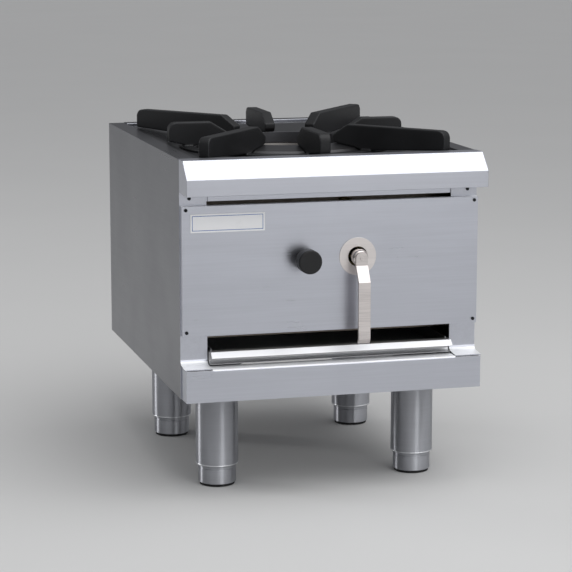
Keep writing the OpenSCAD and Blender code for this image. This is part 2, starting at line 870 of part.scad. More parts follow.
module burner_head() {
    low = burner_top_z + gap;
    mid_r = (burner_r + burner_hole_r) / 2;
    color("dimgray") placed() difference() {
        turned() polygon([[burner_hole_r - head_over, low], [burner_r + head_over, low],
            [burner_r + head_over, low + head_skirt_h], [burner_r - head_t, low + head_h],
            [burner_hole_r + head_t, low + head_h], [burner_hole_r - head_over, low + head_skirt_h]]);
        turned() polygon([[burner_hole_r + burner_t, low - over], [burner_r - burner_t, low - over],
            [burner_r - 2 * burner_t, low + head_h - head_t],
            [burner_hole_r + 2 * burner_t, low + head_h - head_t]]);
        for (i = [0:port_count - 1])
            translate([0, burner_y, 0]) rotate([0, 0, i * 360 / port_count])
                rod_z(burner_r - 2 * head_t, 0, [low, low + head_h + over], port_r);
        for (i = [0:port_count / 2 - 1])
            translate([0, burner_y, 0]) rotate([0, 0, i * 720 / port_count])
                rod_z(mid_r, 0, [low, low + head_h + over], port_r);
    }
}

module burner_bracket() {
    y = [burner_y - bracket_w / 2, burner_y + bracket_w / 2];
    color("gray") placed() {
        block([-inner_x, inner_x], y, [burner_z - bracket_t, burner_z]);
        for (x = [[-inner_x, bracket_t - inner_x], [inner_x - bracket_t, inner_x]])
            block(x, y, [burner_z - bracket_tab_h, burner_z]);
    }
}

module air_windows(r) {
    mid = bell_y + shutter_in + shutter_l / 2;
    translate([lever_x - window_w / 2, mid - window_l / 2, mixer_z - r])
        cube([window_w, window_l, 2 * r]);
}

module mixing_tube() {
    neck = bell_y + bell_l;
    color("gray") placed() difference() {
        union() {
            rod_y(lever_x, mixer_z, [bell_y, neck], bell_r);
            rod_y(lever_x, mixer_z, [neck - over, burner_y - burner_r + mixer_boss_l / 2], mixer_r);
        }
        rod_y(lever_x, mixer_z, [bell_y + bell_t, neck - bell_t], bell_r - bell_t);
        rod_y(lever_x, mixer_z, [neck - 2 * bell_t, burner_y - burner_hole_r], mixer_r - mixer_t);
        rod_y(lever_x, mixer_z, [bell_y - over, bell_y + 2 * bell_t], injector_r + fit);
        air_windows(bell_r + over);
    }
}

module air_shutter() {
    y = [bell_y + shutter_in, bell_y + shutter_in + shutter_l];
    color("silver") placed() difference() {
        rod_y(lever_x, mixer_z, y, bell_r + fit + shutter_t);
        rod_y(lever_x, mixer_z, [y[0] - over, y[1] + over], bell_r + fit);
        air_windows(bell_r + shutter_t + over);
    }
}

module injector() {
    color("goldenrod") placed() difference() {
        union() {
            rod_y(lever_x, mixer_z, [bell_y - over, bell_y + injector_in], injector_r);
            translate([lever_x, bell_y - injector_l, mixer_z]) rotate([-90, 0, 0])
                cylinder(h = injector_l, r = injector_hex_r, $fn = 6);
        }
        rod_y(lever_x, mixer_z, [bell_y - injector_l - over, bell_y + injector_in - over], injector_r / 2);
        rod_y(lever_x, mixer_z, [bell_y, bell_y + injector_in + over], jet_r);
    }
}

module feed_pipe() {
    color("goldenrod") placed() {
        rod_z(lever_x, valve_feed_y, [valve_z + valve_r, mixer_z], feed_r);
        translate([lever_x, valve_feed_y, mixer_z]) sphere(r = feed_r);
        rod_y(lever_x, mixer_z, [valve_feed_y, bell_y - injector_l], feed_r);
    }
}

module main_valve_body() {
    color("goldenrod") placed() difference() {
        union() {
            rod_y(lever_x, valve_z, [valve_y, baffle_y], valve_r);
            rod_y(lever_x, valve_z, [valve_y - gland_l, valve_y], gland_r);
            rod_z(lever_x, valve_feed_y, [valve_z, valve_z + valve_r], feed_r + port_bore_r);
        }
        rod_y(lever_x, valve_z, [valve_y, baffle_y - 2 * sheet], plug_r + fit);
        rod_y(lever_x, valve_z, [valve_y - gland_l - over, valve_y + over], spindle_r + fit);
        rod_z(lever_x, valve_feed_y, [valve_z, valve_z + valve_r + over], port_bore_r);
        rod_x(valve_link_y, valve_z, [lever_x - valve_r - over, lever_x], port_bore_r);
    }
}

// Valve plug with its ports, and the spindle that the lever turns
module valve_plug() {
    y0 = valve_y + gap;
    color("goldenrod") placed() difference() {
        union() {
            rod_y(lever_x, valve_z, [y0, y0 + plug_l], plug_r);
            rod_y(lever_x, valve_z, [spindle_in - hub_out, y0 + over], spindle_r);
        }
        rod_y(lever_x, valve_z, [valve_feed_y - port_bore_r, y0 + plug_l + over], port_bore_r);
        rod_x(valve_feed_y, valve_z, [lever_x - plug_r - over, lever_x], port_bore_r);
        rod_z(lever_x, valve_link_y, [valve_z - plug_r - over, valve_z], port_bore_r);
        rod_y(lever_x, valve_z, [-hub_out, spindle_in - hub_out + lever_screw_l], lever_screw_r + fit);
    }
}

module lever_hub() {
    face_r = lever_w / 2;
    dome = [for (i = [0:8])
        [face_r + (hub_r - face_r) * sin(90 * i / 8), hub_dome_h * (1 - cos(90 * i / 8)) - hub_out]];
    color("silver") placed() difference() {
        translate([lever_x, 0, valve_z]) rotate([-90, 0, 0]) rotate_extrude()
            polygon(concat([[0, -hub_out]], dome, [[hub_r, -gap], [0, -gap]]));
        rod_y(lever_x, valve_z, [spindle_in - hub_out, over], spindle_r + fit);
        rod_y(lever_x, valve_z, [-hub_out - over, over + spindle_in - hub_out], lever_screw_r + fit);
        rod_z(lever_x, grub_in - hub_out, [valve_z + spindle_r + over, valve_z + hub_r + over], grub_r);
    }
}

module lever_handle() {
    tab_y = -hub_out - lever_t;
    far_y = tab_y - lever_slope_out;
    low = valve_z - lever_l;
    bend = valve_z - lever_bend_h;
    path = [[tab_y, valve_z], [tab_y, bend], [far_y, bend - lever_slope_h], [far_y, low + lever_end_h],
        [far_y + lever_end_in, low]];
    color("silver") placed() difference() {
        union() {
            across([lever_x - lever_w / 2, lever_x + lever_w / 2]) polygon(fold(path, lever_t));
            rod_y(lever_x, valve_z, [tab_y, -hub_out], lever_w / 2);
        }
        rod_y(lever_x, valve_z, [tab_y - over, over - hub_out], lever_screw_r + fit);
    }
}

module lever_screw() {
    tab_y = -hub_out - lever_t;
    color("silver") placed() {
        difference() {
            rod_y(lever_x, valve_z, [tab_y - lever_screw_head_h, tab_y], lever_screw_head_r);
            translate([lever_x, tab_y - lever_screw_head_h / 2, valve_z]) rotate([90, 0, 0])
                cylinder(h = lever_screw_head_h, r = lever_screw_r, $fn = 6);
        }
        rod_y(lever_x, valve_z, [tab_y - over, tab_y + lever_screw_l], lever_screw_r);
    }
}

module safety_valve_body() {
    color("goldenrod") placed() difference() {
        union() {
            rod_y(-button_x, valve_z, [safety_y, baffle_y], safety_r);
            rod_x(valve_link_y, valve_z, [-button_x - safety_r - over, -button_x], link_r + port_bore_r);
            rod_z(-button_x, valve_feed_y, [valve_z, valve_z + safety_r], pilot_tube_r + port_bore_r);
        }
        rod_y(-button_x, valve_z, [safety_y - over, baffle_y - 2 * port_bore_r], button_stem_r + fit);
    }
}

module button_cap() {
    face = -button_out;
    color("dimgray") placed() difference() {
        translate([-button_x, 0, valve_z]) rotate([-90, 0, 0]) rotate_extrude() polygon([[0, face],
            [button_r - button_chamfer, face], [button_r, face + button_chamfer], [button_r, face + button_l],
            [0, face + button_l]]);
        rod_y(-button_x, valve_z, [face + button_skirt_in, face + button_l + over], button_stem_r + fit);
    }
}

module button_stem() {
    color("silver") placed()
        rod_y(-button_x, valve_z, [button_skirt_in - button_out, safety_y + button_stem_in], button_stem_r);
}

module supply_pipe() {
    color("gray") placed() {
        rod_y(-inlet_x, valve_z, [valve_link_y, body_d], pipe_r);
        rod_y(-inlet_x, valve_z, [body_d, body_d + inlet_out], inlet_r);
        translate([-inlet_x, valve_link_y, valve_z]) sphere(r = pipe_r);
        rod_x(valve_link_y, valve_z, [-inlet_x, -button_x - safety_r - over], pipe_r);
    }
}

module link_pipe() {
    color("goldenrod") placed()
        rod_x(valve_link_y, valve_z, [-button_x + safety_r, lever_x - valve_r], link_r);
}

module pilot_burner() {
    low = mixer_z;
    color("goldenrod") placed() difference() {
        rod_z(-button_x, pilot_y, [low, low + pilot_h], pilot_r);
        rod_z(-button_x, pilot_y, [low + pilot_h / 2, low + pilot_h + over], pilot_r / 2);
    }
}

module pilot_tube() {
    color("silver") placed() {
        rod_z(-button_x, valve_feed_y, [valve_z + safety_r, pilot_tube_z], pilot_tube_r);
        translate([-button_x, valve_feed_y, pilot_tube_z]) sphere(r = pilot_tube_r);
        rod_y(-button_x, pilot_tube_z, [valve_feed_y, pilot_y], pilot_tube_r);
        translate([-button_x, pilot_y, pilot_tube_z]) sphere(r = pilot_tube_r);
        rod_z(-button_x, pilot_y, [pilot_tube_z, mixer_z], pilot_tube_r);
    }
}

module thermocouple() {
    low = mixer_z;
    color("peru") placed() {
        rod_z(probe_x, probe_y, [low, low + probe_h], probe_r);
        rod_z(probe_x, probe_y, [valve_z, low], lead_r);
        translate([probe_x, probe_y, valve_z]) sphere(r = lead_r);
        rod_y(probe_x, valve_z, [baffle_y, probe_y], lead_r);
    }
}

side_panel_left();
side_panel_right();
back_panel();
hob_top();
front_nose();
top_front_rail();
rail_screws();
front_panel();
panel_screws();
escutcheon();
badge_plate();
plinth_fascia();
front_baffle();
bearer_left();
bearer_right();
leg_front_left();
leg_front_right();
leg_rear_left();
leg_rear_right();
leg_bolts();
foot_insert_front_left();
foot_insert_front_right();
foot_insert_rear_left();
foot_insert_rear_right();
foot_pad_front_left();
foot_pad_front_right();
foot_pad_rear_left();
foot_pad_rear_right();
tray_runner_left();
tray_runner_right();
drip_tray();
spill_bowl();
trivet();
burner_body();
burner_head();
burner_bracket();
mixing_tube();
air_shutter();
injector();
feed_pipe();
main_valve_body();
valve_plug();
lever_hub();
lever_handle();
lever_screw();
safety_valve_body();
button_cap();
button_stem();
supply_pipe();
link_pipe();
pilot_burner();
pilot_tube();
thermocouple();
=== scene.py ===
"""Dresses the stock pot range: finishes, soft edges, cast skins, threads, nuts, louvres and the studio."""

from __future__ import annotations

import logging
import math
from dataclasses import dataclass, field
from enum import Enum
from typing import Any, Iterable, Sequence

import bmesh
import bpy
from mathutils import Matrix, Vector


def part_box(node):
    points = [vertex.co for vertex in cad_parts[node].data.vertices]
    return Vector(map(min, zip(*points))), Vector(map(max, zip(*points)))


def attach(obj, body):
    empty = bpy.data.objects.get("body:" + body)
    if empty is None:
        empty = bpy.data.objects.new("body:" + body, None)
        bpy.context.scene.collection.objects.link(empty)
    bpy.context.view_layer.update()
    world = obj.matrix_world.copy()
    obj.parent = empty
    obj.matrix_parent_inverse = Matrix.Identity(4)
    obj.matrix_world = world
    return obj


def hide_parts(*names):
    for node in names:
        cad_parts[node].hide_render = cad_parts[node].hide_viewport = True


LOG = logging.getLogger("range")
MM = 0.001

Colour = tuple[float, float, float]
Way = tuple[float, float, float]
Profile = Sequence[tuple[float, float]]

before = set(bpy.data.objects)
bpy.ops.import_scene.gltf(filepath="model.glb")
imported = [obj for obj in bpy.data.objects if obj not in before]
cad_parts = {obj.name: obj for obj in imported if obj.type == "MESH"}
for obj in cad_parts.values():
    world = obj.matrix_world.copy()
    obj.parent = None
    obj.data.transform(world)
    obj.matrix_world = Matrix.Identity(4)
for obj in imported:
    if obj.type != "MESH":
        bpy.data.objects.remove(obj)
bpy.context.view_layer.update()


class Signal:
    """A shader socket that takes part in Python arithmetic."""

    def __init__(self, shader: Shader, socket: bpy.types.NodeSocket) -> None:
        """Keeps the socket and the shader that it belongs to."""
        self.shader = shader
        self.socket = socket

    def _joined(self, operation: str, first: Any, second: Any) -> Signal:
        """Adds a Math or Vector Math node.

        Args:
            operation: The node's operation.
            first: Its first input, a signal or a constant.
            second: Its second input, a signal or a constant.

        Returns:
            The node's result.
        """
        vector = self.socket.type == "VECTOR"
        kind = "ShaderNodeVectorMath" if vector else "ShaderNodeMath"
        return self.shader.node(kind, {"operation": operation}, {0: first, 1: second})

    def __add__(self, other: Any) -> Signal:
        """The sum of this signal and another value."""
        return self._joined("ADD", self, other)

    __radd__ = __add__

    def __sub__(self, other: Any) -> Signal:
        """This signal less another value."""
        return self._joined("SUBTRACT", self, other)

    def __rsub__(self, other: Any) -> Signal:
        """Another value less this signal."""
        return self._joined("SUBTRACT", other, self)

    def __mul__(self, other: Any) -> Signal:
        """The product of this signal and another value."""
        return self._joined("MULTIPLY", self, other)

    __rmul__ = __mul__

    def __truediv__(self, other: Any) -> Signal:
        """This signal divided by another value."""
        return self._joined("DIVIDE", self, other)

    def __rtruediv__(self, other: Any) -> Signal:
        """Another value divided by this signal."""
        return self._joined("DIVIDE", other, self)

    def between(self, low: float, high: float) -> Signal:
        """Runs smoothly from 0 to 1 as the signal goes from low to high.

        Args:
            low: The value that becomes 0.
            high: The value that becomes 1.

        Returns:
            The smooth mask.
        """
        inputs = {"Value": self, "From Min": low, "From Max": high}
        return self.shader.node("ShaderNodeMapRange", {"interpolation_type": "SMOOTHSTEP"}, inputs)

    def along(self, way: Way) -> Signal:
        """The part of a vector signal that runs one way.

        Args:
            way: A vector of that way, of any length.

        Returns:
            The dot product.
        """
        inputs = {0: self, 1: way}
        return self.shader.node("ShaderNodeVectorMath", {"operation": "DOT_PRODUCT"}, inputs, "Value")


class Shader:
    """A material or a world under construction, with the node that its values go to."""

    def __init__(self, made: bpy.types.Material | bpy.types.World, surface: str = "Principled BSDF") -> None:
        """Starts the nodes.

        Args:
            made: The new material or world.
            surface: The name of the node that takes the values.
        """
        made.use_nodes = True
        self.tree = made.node_tree
        self.surface = self.tree.nodes[surface]

    def node(
        self, kind: str, settings: dict[str, Any], inputs: dict[int | str, Any], output: int | str = 0
    ) -> Signal:
        """Adds any node.

        Args:
            kind: The node's type.
            settings: Its properties, set first; "stops" fills a colour ramp.
            inputs: Values or signals by socket name or number.
            output: The name or number of the socket that is read.

        Returns:
            The signal of that socket.
        """
        made = self.tree.nodes.new(kind)
        for key, value in settings.items():
            if key == "stops":
                self._fill_ramp(made.color_ramp, value)
            else:
                setattr(made, key, value)
        for key, value in inputs.items():
            self._feed(made.inputs[key], value)
        return Signal(self, made.outputs[output])

    def _feed(self, socket: bpy.types.NodeSocket, value: Any) -> None:
        """Links a signal to a socket, or sets the socket to a constant.

        Args:
            socket: An input of a node.
            value: A signal or a constant; a colour is given without its alpha.
        """
        if isinstance(value, Signal):
            self.tree.links.new(value.socket, socket)
        else:
            socket.default_value = (*value, 1.0) if socket.type == "RGBA" else value

    @staticmethod
    def _fill_ramp(ramp: bpy.types.ColorRamp, stops: Sequence[tuple[float, Colour]]) -> None:
        """Sets a ramp's stops.

        Args:
            ramp: The ramp, with the two stops of a new node.
            stops: Places from 0 to 1 with their colours, at least two.
        """
        while len(ramp.elements) < len(stops):
            ramp.elements.new(1.0)
        for element, (place, colour) in zip(ramp.elements, stops):
            element.position = place
            element.color = (*colour, 1.0)

    def place(self) -> Signal:
        """The point on the piece in the row frame, in metres."""
        return self.node("ShaderNodeTexCoord", {}, {}, "Object")

    def noise(self, at: Signal, scale: float = 1.0, detail: float = 2.0) -> Signal:
        """Cloudy values round 0.5.

        Args:
            at: Where the noise is read.
            scale: Its waves in a unit of that place.
            detail: Its octaves.

        Returns:
            The noise's value.
        """
        return self.node("ShaderNodeTexNoise", {}, {"Vector": at, "Scale": scale, "Detail": detail}, "Fac")

    def cells(self, at: Signal, scale: float) -> Signal:
        """A different value in each irregular cell.

        Args:
            at: Where the cells are read.
            scale: Cells in a unit of that place.

        Returns:
            The cell's value, from 0 to 1.
        """
        colour = self.node("ShaderNodeTexVoronoi", {}, {"Vector": at, "Scale": scale}, "Color")
        return self.node("ShaderNodeSeparateColor", {}, {0: colour})

    def outward(self) -> Signal:
        """The direction in which the surface looks."""
        return self.node("ShaderNodeNewGeometry", {}, {}, "Normal")

    def edge_wear_and_highlight(self) -> Signal:
        """The mask of edge wear and painted highlight: 1 on outer edges, 0 on flats and in corners; for
        pieces with a fine mesh.
        """
        return self.node("ShaderNodeNewGeometry", {}, {}, "Pointiness").between(0.51, 0.60)

    def mix(self, factor: Any, first: Any, second: Any) -> Signal:
        """Mixes two colours.

        Args:
            factor: The share of the second colour.
            first: A colour or a colour signal.
            second: A colour or a colour signal.

        Returns:
            The mixed colour.
        """
        return self.node("ShaderNodeMix", {"data_type": "RGBA"}, {0: factor, 6: first, 7: second}, 2)

    def ramp(self, factor: Signal, stops: Sequence[tuple[float, Colour]]) -> Signal:
        """Turns a value into colours.

        Args:
            factor: The value, from 0 to 1.
            stops: Places with their colours.

        Returns:
            The colour.
        """
        return self.node("ShaderNodeValToRGB", {"stops": stops}, {0: factor})

    def relief(self, height: Signal, depth: float) -> None:
        """Raises the surface by a height signal.

        Args:
            height: Heights from 0 to 1.
            depth: The relief between 0 and 1, in metres.
        """
        inputs = {"Height": height, "Distance": depth, "Strength": 1.0}
        self.coat(Normal=self.node("ShaderNodeBump", {}, inputs))

    def coat(self, **values: Any) -> None:
        """Sets the sockets of the node that takes the values.

        Args:
            values: Constants or signals by socket name, with _ for a space.
        """
        for key, value in values.items():
            self._feed(self.surface.inputs[key.replace("_", " ")], value)


class Grain(Enum):
    """Run of a ground surface's lines; 1 marks the axes that they cross."""

    ALONG_X = (0, 1, 1)
    ALONG_Y = (1, 0, 1)
    ROUND_Y = (0, 1, 0)
    ROUND_Z = (0, 0, 1)

    def stretch(self, fine: float, coarse: float) -> Way:
        """Waves in a metre along each axis.

        Args:
            fine: Waves across the lines.
            coarse: Waves along the lines.

        Returns:
            The three scales.
        """
        return tuple(fine if crossed else coarse for crossed in self.value)


def toned(colour: Colour, share: float) -> Colour:
    """The colour, lighter or darker by a share."""
    return tuple(channel * share for channel in colour)


def middle(node: str) -> Vector:
    """The middle of a CAD node's box."""
    low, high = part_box(node)
    return (low + high) / 2


@dataclass(frozen=True)
class Finish:
    """A finish that makes its material once."""

    name: str

    def material(self) -> bpy.types.Material:
        """The material of this finish.

        Returns:
            The material, new or already made.
        """
        known = bpy.data.materials.get(self.name)
        if known:
            return known
        made = bpy.data.materials.new(self.name)
        self.shade(Shader(made))
        return made

    def shade(self, shader: Shader) -> None:
        """Fills the shader; each finish has its own way."""
        raise NotImplementedError


@dataclass(frozen=True)
class Brushed(Finish):
    """Steel ground in one direction, with faint clouds of handling.

    Args:
        colour: The steel's own colour.
        roughness: Its mean roughness.
        grain: The run of the ground lines.
        fine: Waves in a metre across the grain.
        coarse: Waves in a metre along the grain.
        contrast: How much lighter and darker the streaks are, as a share.
        depth: The relief of the fine lines, in metres.
        smear: How far the grain stretches highlights across itself.
        front: Another tone for the faces that look forward, used where colour is darkened to a painted shade
            on the other faces.
        painted_sheen: The strength of the painted sheen, a pale colour painted as a highlight on the faces
            that look up.
        sheen_way: The way that a face with the full painted sheen looks.
        sheen_edge: The share of that way where the painted sheen starts and where it is full.
        sheen_under: The height above which there is no painted sheen, in metres.
        sheen_fade: The height over which it ends there, in metres.
        sheen_tone: The colour of the painted sheen.
    """

    colour: Colour = (0.53, 0.545, 0.59)
    roughness: float = 0.30
    grain: Grain = Grain.ALONG_X
    fine: float = 1600.0
    coarse: float = 9.0
    contrast: float = 0.03
    depth: float = 0.015 * MM
    smear: float = 0.0
    front: Colour | None = None
    painted_sheen: float = 0.0
    sheen_way: Way = (0.0, -0.42, 0.907)
    sheen_edge: tuple[float, float] = (0.74, 0.90)
    sheen_under: float = 2.0
    sheen_fade: float = 20 * MM
    sheen_tone: Colour = (0.90, 0.91, 0.93)

    def lines(self, shader: Shader) -> Signal:
        """Grinds the surface by its fine lines and gives its broader ones.

        Args:
            shader: The material under construction.

        Returns:
            The broader lines, round 0.5.
        """
        at = shader.place()
        fine = shader.noise(at * self.grain.stretch(self.fine, self.coarse), 1.0, 2.0)
        shader.relief(fine, self.depth)
        middling = shader.noise(at * self.grain.stretch(self.fine / 4, self.coarse), 1.0, 2.0)
        broad = shader.noise(at * self.grain.stretch(self.fine / 20, self.coarse / 2), 1.0, 2.0)
        return 0.6 * middling + 0.4 * broad

    def tone(self, shader: Shader, lines: Signal, colour: Colour) -> Signal:
        """Streaks a colour by the lines of the grain."""
        streak = lines.between(0.3, 0.7)
        return shader.mix(streak, toned(colour, 1 - self.contrast), toned(colour, 1 + self.contrast))

    def pale(self, shader: Shader) -> Signal:
        """The pale film, by the way that the surface looks and its height.

        Args:
            shader: The material under construction.

        Returns:
            The painted sheen's share, from 0 to 1.
        """
        painted_sheen = self.painted_sheen * shader.outward().along(self.sheen_way).between(*self.sheen_edge)
        height = shader.place().along((0.0, 0.0, 1.0))
        return painted_sheen * (1.0 - height.between(self.sheen_under, self.sheen_under + self.sheen_fade))

    def shade(self, shader: Shader) -> None:
        """Brushed metal with streaks in colour, gloss and relief, and the painted sheen.

        Args:
            shader: The material under construction.
        """
        lines = self.lines(shader)
        cloud = shader.noise(shader.place(), 9.0, 3.0)
        # Painted highlight: a pale colour on the faces that look up and forward.
        painted_sheen = self.pale(shader)
        base = self.tone(shader, lines, self.colour)
        # Faces that look forward take the front tone; the other faces keep the colour, which is a painted
        # shade.
        if self.front:
            ahead = shader.outward().along((0.0, -1.0, 0.0)).between(0.5, 0.8)
            base = shader.mix(ahead, base, self.tone(shader, lines, self.front))
        clouded = shader.mix(0.35 * cloud.between(0.45, 0.75), base, toned(self.colour, 0.93))
        shader.coat(
            Base_Color=shader.mix(painted_sheen, clouded, self.sheen_tone),
            Metallic=1.0 - 0.8 * painted_sheen,
            Roughness=self.roughness + 0.10 * (lines - 0.5) + 0.09 * (cloud - 0.5) + 0.1 * painted_sheen,
            Anisotropic=self.smear,
            Anisotropic_Rotation=0.25,
        )


@dataclass(frozen=True)
class HeatTinted(Brushed):
    """Ground steel that the flame has tinted in rings round the burner."""

    centre: Way = (0.0, 0.0, 0.5)
    inner: float = 90 * MM
    outer: float = 190 * MM
    strength: float = 0.75
    shine: float = 0.55

    def shade(self, shader: Shader) -> None:
        """Brushed steel that runs from blue and brown near the flame to bare steel.

        Args:
            shader: The material under construction.
        """
        lines = self.lines(shader)
        at = shader.place()
        cloud = shader.noise(at, 26.0, 4.0)
        spots = shader.noise(at, 160.0, 2.0)
        level = (at - self.centre) * (1.0, 1.0, 0.0)
        reach = shader.node("ShaderNodeVectorMath", {"operation": "LENGTH"}, {0: level}, "Value")
        ring = (reach + 0.03 * (cloud - 0.5) - self.inner) / (self.outer - self.inner)
        tint = shader.ramp(
            ring,
            [
                (0.0, toned((0.15, 0.16, 0.20), self.shine)),
                (0.22, toned((0.20, 0.17, 0.17), self.shine)),
                (0.45, toned((0.30, 0.25, 0.20), self.shine)),
                (0.75, toned((0.42, 0.39, 0.34), self.shine)),
                (1.0, self.colour),
            ],
        )
        steel = shader.mix(lines.between(0.3, 0.7), toned(self.colour, 0.92), toned(self.colour, 1.06))
        fade = 1.0 - ring.between(0.55, 1.0)
        base = shader.mix(self.strength * fade, steel, tint)
        shader.coat(
            Base_Color=shader.mix(0.5 * spots.between(0.62, 0.75) * fade, base, (0.06, 0.05, 0.045)),
            Metallic=1.0,
            Roughness=self.roughness + 0.12 * fade + 0.10 * (cloud - 0.5) + 0.08 * (lines - 0.5),
        )


@dataclass(frozen=True)
class Galvanised(Finish):
    """Zinc-coated sheet or pipe with its spangle."""

    colour: Colour = (0.46, 0.47, 0.49)
    roughness: float = 0.42
    spangle: float = 140.0

    def shade(self, shader: Shader) -> None:
        """Zinc crystals in tone and gloss, with dull clouds.

        Args:
            shader: The material under construction.
        """
        at = shader.place()
        cell = shader.cells(at + 0.004 * shader.noise(at, 300.0, 1.0), self.spangle)
        cloud = shader.noise(at, 18.0, 4.0)
        grey = shader.mix(cell, toned(self.colour, 0.86), toned(self.colour, 1.1))
        shader.coat(
            Base_Color=shader.mix(0.5 * cloud.between(0.5, 0.8), grey, toned(self.colour, 0.7)),
            Metallic=1.0,
            Roughness=self.roughness + 0.12 * (cell - 0.5) + 0.12 * (cloud - 0.5),
        )
        shader.relief(cloud, 0.05 * MM)


@dataclass(frozen=True)
class Cast(Finish):
    """Cast iron with its sandy skin, lighter edges that are partly wear and partly a painted highlight, and,
    near flames, rust.
    """

    colour: Colour = (0.0095, 0.0098, 0.011)
    # The colour of the outer edges: partly wear, partly a painted highlight.
    edge: Colour = (0.060, 0.062, 0.068)
    rust: float = 0.0
    roughness: float = 0.46
    sand: float = 620.0
    depth: float = 0.10 * MM

    def shade(self, shader: Shader) -> None:
        """Sand-cast iron.

        Args:
            shader: The material under construction.
        """
        at = shader.place()
        sand = shader.noise(at, self.sand, 4.0)
        lumps = shader.noise(at, self.sand / 9, 2.0)
        cloud = shader.noise(at, 14.0, 4.0)
        skin = shader.mix(cloud.between(0.35, 0.7), toned(self.colour, 0.85), toned(self.colour, 1.25))
        # Outer edges are lightened: partly wear, partly a painted highlight.
        edge_wear_and_highlight = shader.mix(shader.edge_wear_and_highlight() * (0.45 + 0.55 * lumps), skin, self.edge)
        rusted = self.rust * shader.noise(at, 55.0, 5.0).between(0.48, 0.66)
        shader.coat(
            Base_Color=shader.mix(rusted, edge_wear_and_highlight, (0.13, 0.055, 0.025)),
            Metallic=0.35,
            Roughness=self.roughness + 0.22 * (sand - 0.5) + 0.15 * (cloud - 0.5) + 0.25 * rusted,
        )
        shader.relief(0.65 * sand + 0.35 * lumps, self.depth)


@dataclass(frozen=True)
class Tarnished(Finish):
    """Brass, copper or plated metal with duller and darker patches."""

    colour: Colour = (0.72, 0.53, 0.27)
    tarnish: Colour = (0.34, 0.23, 0.12)
    amount: float = 0.5
    roughness: float = 0.30

    def shade(self, shader: Shader) -> None:
        """Metal with cloudy tarnish and fine turning marks.

        Args:
            shader: The material under construction.
        """
        at = shader.place()
        cloud = shader.noise(at, 60.0, 5.0)
        speck = shader.noise(at, 700.0, 2.0)
        mask = self.amount * (0.7 * cloud.between(0.42, 0.68) + 0.3 * speck.between(0.5, 0.7))
        shader.coat(
            Base_Color=shader.mix(mask, self.colour, self.tarnish),
            Metallic=1.0,
            Roughness=self.roughness + 0.30 * mask + 0.06 * (speck - 0.5),
        )
        shader.relief(speck, 0.02 * MM)


@dataclass(frozen=True)
class Moulded(Finish):
    """Black plastic or rubber with a fine grain and dusty high spots."""

    colour: Colour = (0.0065, 0.0068, 0.0076)
    dust: Colour = (0.014, 0.0145, 0.016)
    roughness: float = 0.46
    pores: float = 900.0
    depth: float = 0.03 * MM

    def shade(self, shader: Shader) -> None:
        """Moulded black with a grain.

        Args:
            shader: The material under construction.
        """
        at = shader.place()
        pores = shader.noise(at, self.pores, 3.0)
        cloud = shader.noise(at, 45.0, 4.0)
        shader.coat(
            Base_Color=shader.mix(0.6 * cloud.between(0.5, 0.8), self.colour, self.dust),
            Metallic=0.0,
            Roughness=self.roughness + 0.12 * (pores - 0.5) + 0.16 * (cloud - 0.5),
            Specular_IOR_Level=0.36,
        )
        shader.relief(pores, self.depth)


@dataclass(frozen=True)
class Enamel(Finish):
    """Stove enamel on a thin plate: even colour, orange-peel gloss, a little grime."""

    colour: Colour = (0.88, 0.885, 0.90)

    def shade(self, shader: Shader) -> None:
        """Glossy enamel.

        Args:
            shader: The material under construction.
        """
        at = shader.place()
        peel = shader.noise(at, 420.0, 1.0)
        cloud = shader.noise(at, 50.0, 4.0)
        shader.coat(
            Base_Color=shader.mix(0.5 * cloud.between(0.55, 0.8), self.colour, toned(self.colour, 0.9)),
            Metallic=0.0,
            Roughness=0.24 + 0.14 * (cloud - 0.5),
            Coat_Weight=0.5,
        )
        shader.relief(peel, 0.02 * MM)


BURNER_CENTRE = tuple(middle("burner_head"))
FRONT_TONE = (0.54, 0.555, 0.61)
# The panel, side and tray steels carry a painted sheen: a pale colour painted as a highlight on the faces
# that look up and forward.
PANEL_STEEL = Brushed("panel steel", colour=FRONT_TONE, painted_sheen=1.0)
# The side steel's colour is darkened to a painted shade. The faces that look forward keep the front's tone,
# and the painted sheen lies only below 300 mm.
SHADED_SIDE_STEEL = Brushed(
    "side steel with painted shade", colour=(0.18, 0.183, 0.2), grain=Grain.ALONG_Y, front=FRONT_TONE, painted_sheen=1.0,
    sheen_under=300 * MM,
)
NOSE_STEEL = Brushed("nose steel", colour=(0.52, 0.533, 0.583), roughness=0.36)
TRAY_STEEL = Brushed("tray steel", colour=(0.36, 0.36, 0.37), painted_sheen=0.72, sheen_way=(0.0, -0.60, 0.80))
# The hob's steel is darkened well below bare steel as painted shade of the recess under the trivet; the rings
# round the burner are its real heat tint.
SHADED_HOB_STEEL = HeatTinted(
    "hob steel with painted shade", colour=(0.115, 0.117, 0.126), centre=BURNER_CENTRE, strength=0.2, shine=0.30
)
BOWL_STEEL = HeatTinted(
    "bowl steel", colour=(0.17, 0.165, 0.165), centre=BURNER_CENTRE, inner=60 * MM, outer=130 * MM,
    strength=0.3, shine=0.35, grain=Grain.ROUND_Z,
)
INNER_STEEL = Galvanised("inner steel")
